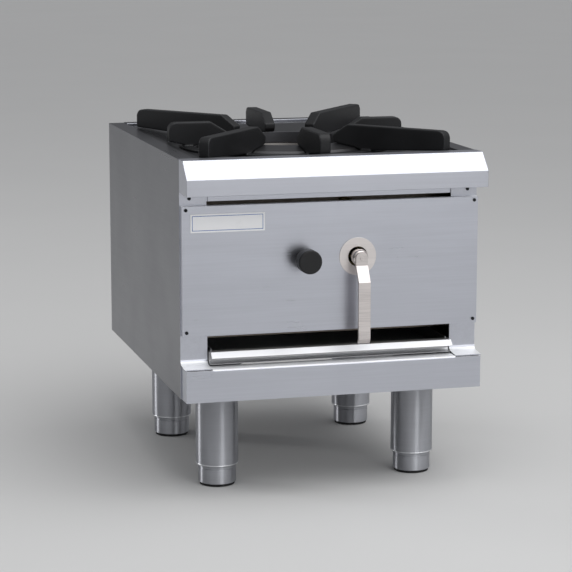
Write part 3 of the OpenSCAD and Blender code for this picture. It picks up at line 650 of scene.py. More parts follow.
# The baffle's galvanised steel is darkened to a warm brown: painted shade of the gap above the front panel.
SHADED_BAFFLE_STEEL = Galvanised("baffle steel with painted shade", colour=(0.25, 0.22, 0.19))
LEG_STEEL = Brushed("leg steel", colour=(0.53, 0.54, 0.575), roughness=0.45, grain=Grain.ROUND_Z, smear=1.0)
FOOT_STEEL = Brushed("foot steel", colour=(0.54, 0.55, 0.585), roughness=0.45, grain=Grain.ROUND_Z, smear=1.0)
RIM_STEEL = Brushed("rim steel", colour=(0.78, 0.79, 0.81), roughness=0.30, grain=Grain.ROUND_Z)
HANDLE_METAL = Brushed(
    "handle metal", colour=(0.65, 0.608, 0.592), roughness=0.42, fine=3200.0, coarse=30.0, contrast=0.12,
    depth=0.03 * MM,
)
HUB_METAL = Brushed(
    "hub metal", colour=(0.66, 0.61, 0.585), roughness=0.17, grain=Grain.ROUND_Y, fine=1500.0, contrast=0.08
)
ESCUTCHEON_METAL = Brushed("escutcheon metal", colour=(0.72, 0.68, 0.665), roughness=0.36, contrast=0.04)
STEM_STEEL = Brushed("stem steel", colour=(0.58, 0.58, 0.59), roughness=0.22, grain=Grain.ROUND_Y)
TRIVET_IRON = Cast("trivet iron")
BURNER_IRON = Cast(
    "burner iron", colour=(0.045, 0.040, 0.037), edge=(0.11, 0.10, 0.095), rust=0.55, roughness=0.62,
    sand=900.0, depth=0.07 * MM,
)
BRASS = Tarnished("brass")
COPPER = Tarnished("copper", colour=(0.72, 0.38, 0.26), tarnish=(0.22, 0.10, 0.06), amount=0.7)
ALUMINIUM = Tarnished("aluminium", colour=(0.66, 0.67, 0.69), tarnish=(0.42, 0.42, 0.43), amount=0.4)
SHUTTER_STEEL = Tarnished("shutter steel", colour=(0.50, 0.50, 0.51), tarnish=(0.26, 0.21, 0.17), amount=0.6)
PIPE_STEEL = Galvanised("pipe steel", colour=(0.40, 0.41, 0.42), roughness=0.40, spangle=90.0)
ZINC = Tarnished("zinc fixings", colour=(0.60, 0.60, 0.58), tarnish=(0.38, 0.36, 0.30), amount=0.4)
BLACK_FIXING = Tarnished(
    "black fixings", colour=(0.030, 0.031, 0.034), tarnish=(0.012, 0.012, 0.013), roughness=0.36
)
KNOB_BLACK = Moulded("knob black")
PAD_RUBBER = Moulded(
    "pad rubber", colour=(0.014, 0.014, 0.015), roughness=0.72, pores=1400.0, depth=0.08 * MM
)
BADGE_WHITE = Enamel("badge enamel")
BADGE_BLUE = Enamel("badge line enamel", colour=(0.045, 0.13, 0.40))


def shading_group() -> bpy.types.NodeTree:
    """The geometry nodes that shade a piece smoothly, made once.

    Returns:
        The node group.
    """
    known = bpy.data.node_groups.get("smooth shading")
    if known:
        return known
    tree = bpy.data.node_groups.new("smooth shading", "GeometryNodeTree")
    for direction in ("INPUT", "OUTPUT"):
        tree.interface.new_socket("Geometry", in_out=direction, socket_type="NodeSocketGeometry")
    start = tree.nodes.new("NodeGroupInput")
    shade = tree.nodes.new("GeometryNodeSetShadeSmooth")
    end = tree.nodes.new("NodeGroupOutput")
    tree.links.new(start.outputs[0], shade.inputs[0])
    tree.links.new(shade.outputs[0], end.inputs[0])
    return tree


def dress(nodes: Iterable[str] | str, finish: Finish, edge: float = 0.0, segments: int = 3) -> None:
    """Gives CAD nodes a finish and rounds their edges.

    Args:
        nodes: One node's name or several.
        finish: The finish for all of them.
        edge: The width of the rounding in metres, or 0 for sharp edges.
        segments: The steps of the rounding.
    """
    for name in [nodes] if isinstance(nodes, str) else nodes:
        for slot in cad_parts[name].material_slots:
            slot.material = finish.material()
        if edge:
            soften(name, edge, segments)
        LOG.info("dressed %s in %s", name, finish.name)


def soften(node: str, width: float, segments: int) -> None:
    """Rounds the sharp edges of a CAD node by modifiers.

    Args:
        node: The node's name.
        width: The width of the rounding, in metres.
        segments: Its steps.
    """
    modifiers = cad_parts[node].modifiers
    weld = modifiers.new("weld", "WELD")
    weld.merge_threshold = 0.005 * MM
    flats = modifiers.new("flats", "DECIMATE")
    flats.decimate_type = "DISSOLVE"
    flats.angle_limit = math.radians(0.5)
    bevel = modifiers.new("soft edges", "BEVEL")
    bevel.limit_method = "ANGLE"
    bevel.angle_limit = math.radians(20)
    bevel.width = width
    bevel.segments = segments
    shade = modifiers.new("shading", "NODES")
    shade.node_group = shading_group()
    normals = modifiers.new("normals", "WEIGHTED_NORMAL")
    normals.weight = 90


def cast_skin(node: str, cell: float, passes: int) -> None:
    """Gives a CAD node the soft fillets of a casting.

    Args:
        node: The node's name.
        cell: The size of the new mesh's cells, in metres.
        passes: How often the skin is smoothed.
    """
    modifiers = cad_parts[node].modifiers
    skin = modifiers.new("skin", "REMESH")
    skin.mode = "VOXEL"
    skin.voxel_size = cell
    skin.use_smooth_shade = True
    soft = modifiers.new("soft", "SMOOTH")
    soft.factor = 0.5
    soft.iterations = passes


def facing(origin: Vector, direction: Way) -> Matrix:
    """The placing that turns the z axis to a direction and moves it to a point.

    Args:
        origin: Where the local origin goes, in the row frame.
        direction: Where the local z axis points.

    Returns:
        The 4x4 matrix.
    """
    turn = Vector(direction).to_track_quat("Z", "Y").to_matrix().to_4x4()
    return Matrix.Translation(origin) @ turn


def circle(radius: float, height: float, steps: int) -> list[Vector]:
    """Points evenly round the local z axis.

    Args:
        radius: Their distance from the axis.
        height: Their height on it.
        steps: How many there are.

    Returns:
        The points, the first on the x axis.
    """
    turn = (2 * math.pi * i / steps for i in range(steps))
    return [Vector((radius * math.cos(a), radius * math.sin(a), height)) for a in turn]


class Shape:
    """A mesh under construction, made of rings, grids and ridges.

    Its own values are counts of steps and shares of a piece's sizes. A ring narrower than on_axis, in
    metres, closes to a point.
    """

    on_axis = 1e-6
    hex_steps = 60
    chamfer_steps = 4
    chamfer_share = 0.18
    chamfer_slope = 1.1
    face_share = 0.97
    thread_steps = 28
    thread_foot_share = 0.48
    thread_crest_share = 0.10
    ripple_gap_share = 1.2
    ripple_share = 0.16
    ripple_steps = 4
    bead_steps = 8
    bend_steps = 12
    pipe_steps = 32
    hood_rows = 8
    hood_columns = 32
    hood_power = 10

    def __init__(self) -> None:
        """Starts an empty mesh."""
        self.mesh = bmesh.new()

    def _ring(self, points: Iterable[Vector], place: Matrix) -> list[bmesh.types.BMVert]:
        """Adds the points of one ring, moved into place."""
        return [self.mesh.verts.new(place @ point) for point in points]

    def _skin(self, rings: Sequence[Sequence[bmesh.types.BMVert]], closed: bool) -> None:
        """Joins rings of equal length by faces.

        Args:
            rings: The rings, in order.
            closed: Whether each ring's ends meet.
        """
        count = len(rings[0])
        for low, high in zip(rings, rings[1:]):
            for i in range(count if closed else count - 1):
                j = (i + 1) % count
                corners = list(dict.fromkeys((low[i], low[j], high[j], high[i])))
                if len(corners) > 2:
                    self.mesh.faces.new(corners)

    def turned(self, profile: Profile, place: Matrix, steps: int = 48) -> Shape:
        """Turns a profile round the local z axis.

        Args:
            profile: (radius, height) points from one end to the other.
            place: Where the local frame goes.
            steps: Faces round the axis.

        Returns:
            This shape.
        """
        rings = []
        for radius, height in profile:
            if radius < self.on_axis:
                rings.append([self.mesh.verts.new(place @ Vector((0, 0, height)))] * steps)
                continue
            rings.append(self._ring(circle(radius, height, steps), place))
        self._skin(rings, closed=True)
        return self

    def hexed(self, flat_r: float, heights: tuple[float, float], bore_r: float, place: Matrix) -> Shape:
        """Makes a hexagonal nut or head with rounded-off corners at both ends.

        Args:
            flat_r: Half the width across the flats.
            heights: Its lower and upper end on the local z axis.
            bore_r: The radius of its hole, or 0.
            place: Where the local frame goes.

        Returns:
            This shape.
        """
        low, high = heights
        depth = self.chamfer_share * flat_r
        levels = [i / self.chamfer_steps * depth for i in range(self.chamfer_steps + 1)]
        stations = [low + level for level in levels] + [high - level for level in reversed(levels)]
        steps = self.hex_steps
        rings = [self._ring(circle(bore_r, low, steps), place)]
        for station in stations:
            reach = flat_r * self.face_share + min(station - low, high - station) * self.chamfer_slope
            ring = []
            for i in range(steps):
                angle = 2 * math.pi * i / steps
                corner = flat_r / math.cos((angle % (math.pi / 3)) - math.pi / 6)
                radius = min(corner, reach)
                ring.append(Vector((radius * math.cos(angle), radius * math.sin(angle), station)))
            rings.append(self._ring(ring, place))
        rings.append(self._ring(circle(bore_r, high, steps), place))
        self._skin(rings, closed=True)
        return self

    def thread(self, root_r: float, crest_r: float, heights: tuple[float, float], pitch: float,
               place: Matrix) -> Shape:
        """Winds a thread's ridge round the local z axis.

        Args:
            root_r: The radius at the foot of the ridge.
            crest_r: The radius at its crest.
            heights: The lower and upper end of the thread.
            pitch: The rise in one turn.
            place: Where the local frame goes.

        Returns:
            This shape.
        """
        low, high = heights
        turns = (high - low - pitch) / pitch
        steps = int(turns * self.thread_steps)
        foot, tip = self.thread_foot_share, self.thread_crest_share
        rings = []
        for i in range(steps + 1):
            share = i / steps
            angle = 2 * math.pi * turns * share
            middle = low + pitch / 2 + (high - low - pitch) * share
            fade = min(1.0, 2 * turns * share, 2 * turns * (1 - share))
            crest = root_r + (crest_r - root_r) * fade
            section = ((root_r, -foot), (crest, -tip), (crest, tip), (root_r, foot))
            rings.append(
                self._ring(
                    (Vector((r * math.cos(angle), r * math.sin(angle), middle + rise * pitch))
                     for r, rise in section),
                    place,
                )
            )
        self._skin(rings, closed=False)
        return self

    def weld_ring(self, radius: float, bead_r: float, height: float, place: Matrix) -> Shape:
        """Lays a rippled weld bead round the local z axis.

        Args:
            radius: The radius of the seam.
            bead_r: The bead's own radius.
            height: The seam's place on the local z axis.
            place: Where the local frame goes.

        Returns:
            This shape.
        """
        ripples = int(2 * math.pi * radius / (self.ripple_gap_share * bead_r))
        steps = ripples * self.ripple_steps
        rings = []
        for i in range(steps):
            angle = 2 * math.pi * i / steps
            swell = bead_r * (1 + self.ripple_share * math.sin(ripples * angle))
            rings.append(
                self._ring(
                    (
                        Vector((
                            (radius + swell * math.cos(turn)) * math.cos(angle),
                            (radius + swell * math.cos(turn)) * math.sin(angle),
                            height + swell * math.sin(turn),
                        ))
                        for turn in (2 * math.pi * j / self.bead_steps for j in range(self.bead_steps))
                    ),
                    place,
                )
            )
        rings.append(rings[0])
        self._skin(rings, closed=True)
        return self

    def bent_pipe(self, radius: float, arms: tuple[float, float], bend_r: float, place: Matrix) -> Shape:
        """Bends a pipe by a quarter turn, from the local -x arm to the local y arm.

        Args:
            radius: The pipe's radius.
            arms: How far each arm reaches from the corner.
            bend_r: The radius of the bend.
            place: Where the corner's frame goes.

        Returns:
            This shape.
        """
        stations = [(Vector((-arms[0], 0, 0)), Vector((1, 0, 0)))]
        for i in range(self.bend_steps + 1):
            angle = math.pi / 2 * i / self.bend_steps
            centre = Vector((-bend_r, bend_r, 0))
            stations.append(
                (centre + bend_r * Vector((math.sin(angle), -math.cos(angle), 0)),
                 Vector((math.cos(angle), math.sin(angle), 0)))
            )
        stations.append((Vector((0, arms[1], 0)), Vector((0, 1, 0))))
        rings = []
        for point, heading in stations:
            side = heading.cross(Vector((0, 0, 1)))
            turn = (2 * math.pi * j / self.pipe_steps for j in range(self.pipe_steps))
            rings.append(
                self._ring(
                    (point + radius * (math.cos(a) * side + math.sin(a) * Vector((0, 0, 1))) for a in turn),
                    place,
                )
            )
        self._skin(rings, closed=True)
        return self

    def louvre(self, width: float, height: float, depth: float, place: Matrix) -> Shape:
        """Presses a hood that is open below and runs out flat above and at its ends.

        Args:
            width: Its width along the local x axis.
            height: Its height along the local z axis, up from 0.
            depth: How far its lip stands out along the local y axis.
            place: Where the middle of its lip's foot goes.

        Returns:
            This shape.
        """
        rings = []
        for i in range(self.hood_rows + 1):
            share = i / self.hood_rows
            rise = math.sqrt(1 - share**2)
            ring = []
            for j in range(self.hood_columns + 1):
                side = 2 * j / self.hood_columns - 1
                end = (1 - abs(side) ** self.hood_power) ** 0.5
                ring.append(Vector((side * width / 2, depth * rise * end, height * share)))
            rings.append(self._ring(ring, place))
        self._skin(rings, closed=False)
        return self

    def slab(self, lows: Vector, highs: Vector, edge: float) -> Shape:
        """Makes a plate with rounded edges between two corners.

        Args:
            lows: Its lowest corner.
            highs: Its highest corner.
            edge: The radius of its edges.

        Returns:
            This shape.
        """
        before = set(self.mesh.verts)
        made = bmesh.ops.create_cube(self.mesh, size=1.0)
        for vert in made["verts"]:
            share = vert.co + Vector((0.5, 0.5, 0.5))
            vert.co = lows + Vector(a * b for a, b in zip(share, highs - lows))
        fresh = [v for v in self.mesh.verts if v not in before]
        edges = {e for v in fresh for e in v.link_edges}
        bmesh.ops.bevel(self.mesh, geom=list(edges), offset=edge, segments=3, profile=0.5, affect="EDGES")
        return self

    def piece(
        self, name: str, finish: Finish, slot: str, body: str, crease: float = 40.0
    ) -> bpy.types.Object:
        """Turns the shape into a piece of the range.

        Args:
            name: The piece's name.
            finish: Its finish.
            slot: Not used.
            body: The body that it rides on.
            crease: Edges sharper than this many degrees stay sharp.

        Returns:
            The new object.
        """
        bmesh.ops.recalc_face_normals(self.mesh, faces=self.mesh.faces)
        data = bpy.data.meshes.new(name)
        self.mesh.to_mesh(data)
        self.mesh.free()
        data.shade_smooth()
        data.set_sharp_from_angle(angle=math.radians(crease))
        data.materials.append(finish.material())
        made = bpy.data.objects.new(name, data)
        bpy.context.scene.collection.objects.link(made)
        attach(made, body)
        LOG.info("made %s with %d faces on %s", name, len(data.polygons), body)
        return made


def upright(node: str, height: float = 0.0) -> Matrix:
    """The placing of an upright piece on the axis of a CAD node.

    Args:
        node: The node's name.
        height: Where the piece's own origin goes, above the floor.

    Returns:
        The 4x4 matrix.
    """
    centre = middle(node)
    return Matrix.Translation(Vector((centre.x, centre.y, height)))


def washer(radius: float, height: float, edge: float, sunk: float) -> Profile:
    """The profile of a washer or flange with a soft upper edge.

    Args:
        radius: Its outer radius.
        height: How far it stands out.
        edge: The width of its soft edge.
        sunk: How far its wall runs on below the sheet's face.

    Returns:
        (radius, height) points from the middle of its face outwards.
    """
    return [(0, height), (radius - edge, height), (radius, height - edge), (radius, -sunk)]


@dataclass
class Casing:
    """The sheet-metal casing with its louvres and back screws."""

    fold: float = 0.72 * MM
    top_fold: float = 1.3 * MM
    nose_fold: float = 0.7 * MM
    slot_w: float = 110 * MM
    slot_x: float = 75 * MM
    slot_step: float = 18 * MM
    slot_rows: int = 5
    louvre_over: float = 2 * MM
    louvre_h: float = 11 * MM
    louvre_out: float = 5 * MM
    louvre_t: float = 0.8 * MM
    louvre_sunk: float = 0.2 * MM
    louvre_down: float = 1 * MM
    screw_flat_r: float = 3.5 * MM
    screw_head: tuple[float, float] = (0.6 * MM, 4 * MM)
    screw_in: float = 9 * MM
    screw_shares: tuple[float, ...] = (0.05, 0.35, 0.65, 0.93)
    flange_r: float = 5.2 * MM
    flange_h: float = 0.9 * MM
    flange_edge: float = 0.4 * MM
    flange_sunk: float = 0.2 * MM

    def build(self) -> None:
        """Dresses the sheets and adds what is pressed and screwed on the back."""
        dress(["side_panel_left", "side_panel_right"], SHADED_SIDE_STEEL, self.top_fold)
        dress("back_panel", SHADED_SIDE_STEEL, self.fold)
        dress("front_nose", NOSE_STEEL, self.nose_fold)
        dress(["top_front_rail", "plinth_fascia"], PANEL_STEEL, self.fold)
        dress("front_baffle", SHADED_BAFFLE_STEEL, self.fold)
        dress(["bearer_left", "bearer_right"], INNER_STEEL, self.fold)
        dress(["rail_screws", "panel_screws"], BLACK_FIXING, edge=0.5 * MM)
        self.louvres()
        self.back_screws()

    def louvres(self) -> None:
        """Presses a hood over each slot of the back panel."""
        low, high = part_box("back_panel")
        first = (low.z + high.z) / 2 - self.louvre_down
        shape = Shape()
        for side in (-1, 1):
            for row in range(self.slot_rows):
                foot = Vector((side * self.slot_x, high.y - self.louvre_sunk, first + row * self.slot_step))
                shape.louvre(self.slot_w + 2 * self.louvre_over, self.louvre_h, self.louvre_out,
                             Matrix.Translation(foot))
        made = shape.piece("back_louvres", SHADED_SIDE_STEEL, "steel_panel", "frame", crease=60)
        wall = made.modifiers.new("wall", "SOLIDIFY")
        wall.thickness = self.louvre_t
        wall.offset = -1.0

    def back_screws(self) -> None:
        """Screws with hexagonal heads along the sides of the back panel."""
        low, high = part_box("back_panel")
        flange = washer(self.flange_r, self.flange_h, self.flange_edge, self.flange_sunk)
        shape = Shape()
        for side in (low.x + self.screw_in, high.x - self.screw_in):
            for share in self.screw_shares:
                place = facing(Vector((side, high.y, low.z + share * (high.z - low.z))), (0, 1, 0))
                shape.turned(flange, place, steps=32)
                shape.hexed(self.screw_flat_r, self.screw_head, 0.0, place)
        shape.piece("back_screws", ZINC, "fixing_zinc", "frame", crease=30)


@dataclass
class ControlPanel:
    """The control panel with its escutcheon and blank badge."""

    edge: float = 1.1 * MM
    line_in: float = 2.6 * MM
    line_w: float = 0.9 * MM
    line_out: float = 0.15 * MM
    line_sunk: float = 0.3 * MM
    line_edge: float = 0.12 * MM

    def build(self) -> None:
        """Dresses the panel and frames the blank badge with one blue line."""
        dress("front_panel", PANEL_STEEL, self.edge)
        dress("escutcheon", ESCUTCHEON_METAL, edge=0.3 * MM)
        dress("badge_plate", BADGE_WHITE, edge=0.4 * MM)
        low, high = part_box("badge_plate")
        face = (low.y - self.line_out, low.y + self.line_sunk)
        left, right = low.x + self.line_in, high.x - self.line_in
        down, up = low.z + self.line_in, high.z - self.line_in
        shape = Shape()
        for x, z in (((left, right), (down, down + self.line_w)), ((left, right), (up - self.line_w, up)),
                     ((left, left + self.line_w), (down, up)), ((right - self.line_w, right), (down, up))):
            shape.slab(Vector((x[0], face[0], z[0])), Vector((x[1], face[1], z[1])), self.line_edge)
        shape.piece("badge_line", BADGE_BLUE, "badge", "frame")


@dataclass
class LeverTap:
    """The lever, its hub and its grub screw."""

    grub_r: float = 1.55 * MM
    grub_in: float = 8 * MM
    grub_down: float = 1.6 * MM
    grub_edge: float = 0.2 * MM
    grub_long: float = 2.5 * MM
    socket_r: float = 0.75 * MM
    socket_deep: float = 0.8 * MM

    def build(self) -> None:
        """Dresses the lever and sets the grub screw in the hub."""
        dress("lever_handle", HANDLE_METAL, edge=0.7 * MM)
        dress("lever_hub", HUB_METAL, edge=0.6 * MM)
        dress("lever_screw", HANDLE_METAL, edge=0.3 * MM)
        dress("valve_plug", BRASS)
        low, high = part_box("lever_hub")
        top = Vector(((low.x + high.x) / 2, low.y + self.grub_in, high.z - self.grub_down))
        edge = self.grub_edge
        shape = Shape().turned(
            [(0, -self.socket_deep), (self.socket_r, -self.socket_deep), (self.socket_r, edge),
             (self.grub_r - edge, edge), (self.grub_r, 0), (self.grub_r, -self.grub_long)],
            facing(top, (0, 0, 1)), steps=24)
        shape.piece("lever_grub_screw", BLACK_FIXING, "fixing_black", "lever")


@dataclass
class SafetyButton:
    """The safety button with the grommet that its stem runs in, widened so that its black rim is painted
    shade round the button.
    """

    # The grommet is wider than the real one: its black rim is painted shade round the button.
    grommet_with_shade_r: float = 13 * MM
    grommet_h: float = 2.6 * MM
    grommet_edge: float = 0.9 * MM
    grommet_sunk: float = 1 * MM
    play: float = 0.3 * MM

    def build(self) -> None:
        """Dresses the button and adds the grommet on the panel, with its wide black rim as painted shade."""
        dress("button_cap", KNOB_BLACK, edge=0.9 * MM, segments=4)
        dress("button_stem", STEM_STEEL)
        stem_low, stem_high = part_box("button_stem")
        bore = (stem_high.x - stem_low.x) / 2 + self.play
        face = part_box("front_panel")[0].y
        centre = middle("button_stem")
        place = facing(Vector((centre.x, face, centre.z)), (0, -1, 0))
        edge = self.grommet_edge
        shape = Shape().turned(
            [(bore, -self.grommet_sunk), (bore, self.grommet_h - edge), (bore + edge, self.grommet_h),
             (self.grommet_with_shade_r - edge, self.grommet_h), (self.grommet_with_shade_r, self.grommet_h - edge),
             (self.grommet_with_shade_r, 0)], place)
        shape.piece("button_grommet_and_painted_shade", PAD_RUBBER, "pad_rubber", "frame")


@dataclass
class Hob:
    """The pressed top with its spill bowl and the cast trivet."""

    trivet_cell: float = 1.1 * MM
    trivet_passes: int = 7

    def build(self) -> None:
        """Dresses the top, the bowl and the trivet."""
        dress("hob_top", SHADED_HOB_STEEL, edge=0.5 * MM)
        dress("spill_bowl", BOWL_STEEL)
        dress("trivet", TRIVET_IRON)
        cast_skin("trivet", self.trivet_cell, self.trivet_passes)


@dataclass
class Burner:
    """The burner with its bracket, mixing tube, shutter and injector."""

    bolt_x: float = 62 * MM
    bolt_flat_r: float = 5 * MM
    bolt_head: tuple[float, float] = (1.2 * MM, 5.2 * MM)
    bracket_t: float = 3 * MM
    washer_r: float = 8 * MM
    washer_h: float = 1.4 * MM
    washer_edge: float = 0.3 * MM
    washer_sunk: float = 0.2 * MM
    clamp_flat_r: float = 2.8 * MM
    clamp_h: float = 3 * MM
    clamp_sunk: float = 0.3 * MM
    clamp_stem: Profile = ((0, 6 * MM), (1.2 * MM, 5.7 * MM), (1.4 * MM, 2.8 * MM))

    def build(self) -> None:
        """Dresses the burner and adds its bolts and the shutter's screw."""
        dress(["burner_body", "burner_head"], BURNER_IRON, edge=0.8 * MM)
        dress("burner_bracket", SHADED_BAFFLE_STEEL, edge=0.6 * MM)
        dress("mixing_tube", PIPE_STEEL, edge=0.5 * MM)
        dress("air_shutter", SHUTTER_STEEL, edge=0.3 * MM)
        dress("injector", BRASS, edge=0.3 * MM)
        self.bolts()
        self.clamp()

    def bolts(self) -> None:
        """Bolts with washers under the bracket."""
        centre = middle("burner_bracket")
        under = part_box("burner_body")[0].z - self.bracket_t
        disc = washer(self.washer_r, self.washer_h, self.washer_edge, self.washer_sunk)
        shape = Shape()
        for side in (-1, 1):
            place = facing(Vector((side * self.bolt_x, centre.y, under)), (0, 0, -1))
            shape.turned(disc, place, steps=40)
            shape.hexed(self.bolt_flat_r, self.bolt_head, 0.0, place)
        shape.piece("burner_bolts", ZINC, "fixing_zinc", "frame", crease=30)

    def clamp(self) -> None:
        """The small screw that holds the air shutter's setting."""
        low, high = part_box("air_shutter")
        radius = (high.x - low.x) / 2
        out = Vector((1, 0, 1)).normalized()
        at = middle("air_shutter") + out * (radius - self.clamp_sunk)
        place = facing(at, tuple(out))
        shape = Shape().hexed(self.clamp_flat_r, (0, self.clamp_h), 0.0, place)
        shape.turned(self.clamp_stem, place, steps=20)
        shape.piece("shutter_screw", ZINC, "fixing_zinc", "shutter", crease=30)


@dataclass
class GasLine:
    """Pipes, valves and the pilot, with their nuts, elbow and threads."""

    pipe_r: float = 13.45 * MM
    pipe_edge: float = 0.6 * MM
    inlet_root_r: float = 12.1 * MM
    inlet_crest_r: float = 13.2 * MM
    inlet_pitch: float = 1.814 * MM
    inlet_from: float = 1 * MM
    inlet_step: float = 0.4 * MM
    inlet_edge: float = 0.8 * MM
    inlet_wall: float = 2.6 * MM
    inlet_deep: float = 12 * MM
    bend_r: float = 15 * MM
    arm: float = 24 * MM
    lap: float = 1 * MM
    fitting_t: float = 2.6 * MM
    band_w: float = 6 * MM
    band_edge: float = 0.8 * MM
    nut_h: float = 9 * MM
    feed_nut_r: float = 10 * MM
    valve_nut_r: float = 9 * MM
    link_nut_r: float = 12 * MM
    link_nut_from: float = 0.5 * MM
    pilot_r: float = 3 * MM
    pilot_nut_r: float = 6 * MM
    pilot_nut_h: float = 7 * MM

    def build(self) -> None:
        """Dresses the valves and pipes and adds the fittings."""
        dress(["feed_pipe", "link_pipe"], BRASS)
        dress(["main_valve_body", "safety_valve_body"], BRASS, edge=0.6 * MM)
        dress("pilot_burner", BRASS, edge=0.3 * MM)
        dress("pilot_tube", ALUMINIUM)
        dress("thermocouple", COPPER)
        dress("supply_pipe", PIPE_STEEL)
        self.supply()
        self.nuts()

    def supply(self) -> None:
        """The supply pipe with its elbow and the threaded inlet."""
        low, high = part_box("supply_pipe")
        x, z = low.x + self.pipe_r, (low.z + high.z) / 2
        corner = Vector((x, low.y + self.pipe_r, z))
        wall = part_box("back_panel")[1].y
        along = facing(Vector((x, 0, z)), (0, 1, 0))
        core, bore = self.inlet_root_r, self.inlet_root_r - self.inlet_wall
        reach = self.arm - self.lap
        shape = Shape().turned(
            [(self.pipe_r, corner.y + reach), (self.pipe_r, wall - self.pipe_edge),
             (self.pipe_r - self.pipe_edge, wall), (core, wall + self.inlet_step),
             (core, high.y - self.inlet_edge), (core - self.inlet_edge, high.y), (bore, high.y),
             (bore, high.y - self.inlet_deep), (0, high.y - self.inlet_deep)], along)
        thread = (wall + self.inlet_from, high.y)
        shape.thread(core, self.inlet_crest_r, thread, self.inlet_pitch, along)
        across = facing(Vector((0, corner.y, z)), (1, 0, 0))
        shape.turned([(self.pipe_r, x + reach), (self.pipe_r, high.x), (0, high.x)], across)
        made = shape.piece("supply_pipe_run", PIPE_STEEL, "pipe_steel", "frame")
        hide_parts("supply_pipe")
        flip = Matrix.Translation(corner) @ Matrix.Scale(-1, 4, Vector((1, 0, 0)))
        edge, inner, band_r = self.band_edge, self.pipe_r - self.lap, self.pipe_r + self.fitting_t
        elbow = Shape().bent_pipe(band_r - edge, (reach, reach), self.bend_r, flip)
        start, stop = self.arm - self.band_w, self.arm
        for place in (facing(corner, (1, 0, 0)), facing(corner, (0, 1, 0))):
            elbow.turned([(inner, start), (band_r - edge, start), (band_r, start + edge),
                          (band_r, stop - edge), (band_r - edge, stop), (inner, stop)], place)
        elbow.piece("supply_elbow", PIPE_STEEL, "pipe_steel", "frame")

    def nuts(self) -> None:
        """The nuts that hold the pipes to the valves, the injector and the pilot."""
        shape = Shape()
        feed_low, feed_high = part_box("feed_pipe")
        feed_r = (feed_high.x - feed_low.x) / 2
        feed_x = (feed_low.x + feed_high.x) / 2
        up = facing(Vector((feed_x, feed_low.y + feed_r, feed_low.z)), (0, 0, 1))
        shape.hexed(self.feed_nut_r, (0, self.nut_h), feed_r, up)
        back = facing(Vector((feed_x, feed_high.y, feed_high.z - feed_r)), (0, -1, 0))
        shape.hexed(self.valve_nut_r, (0, self.nut_h), feed_r, back)
        link_low, link_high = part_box("link_pipe")
        link_r = (link_high.z - link_low.z) / 2
        centre = middle("link_pipe")
        for x, way in ((link_low.x, 1), (link_high.x, -1)):
            place = facing(Vector((x, centre.y, centre.z)), (way, 0, 0))
            shape.hexed(self.link_nut_r, (self.link_nut_from, self.nut_h), link_r, place)
        pilot_low, pilot_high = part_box("pilot_tube")
        ends = ((pilot_low.y + self.pilot_r, pilot_low.z, 1), (pilot_high.y - self.pilot_r, pilot_high.z, -1))
        for y, z, way in ends:
            place = facing(Vector(((pilot_low.x + pilot_high.x) / 2, y, z)), (0, 0, way))
            shape.hexed(self.pilot_nut_r, (0, self.pilot_nut_h), self.pilot_r, place)
        shape.piece("pipe_nuts", BRASS, "brass", "frame", crease=30)


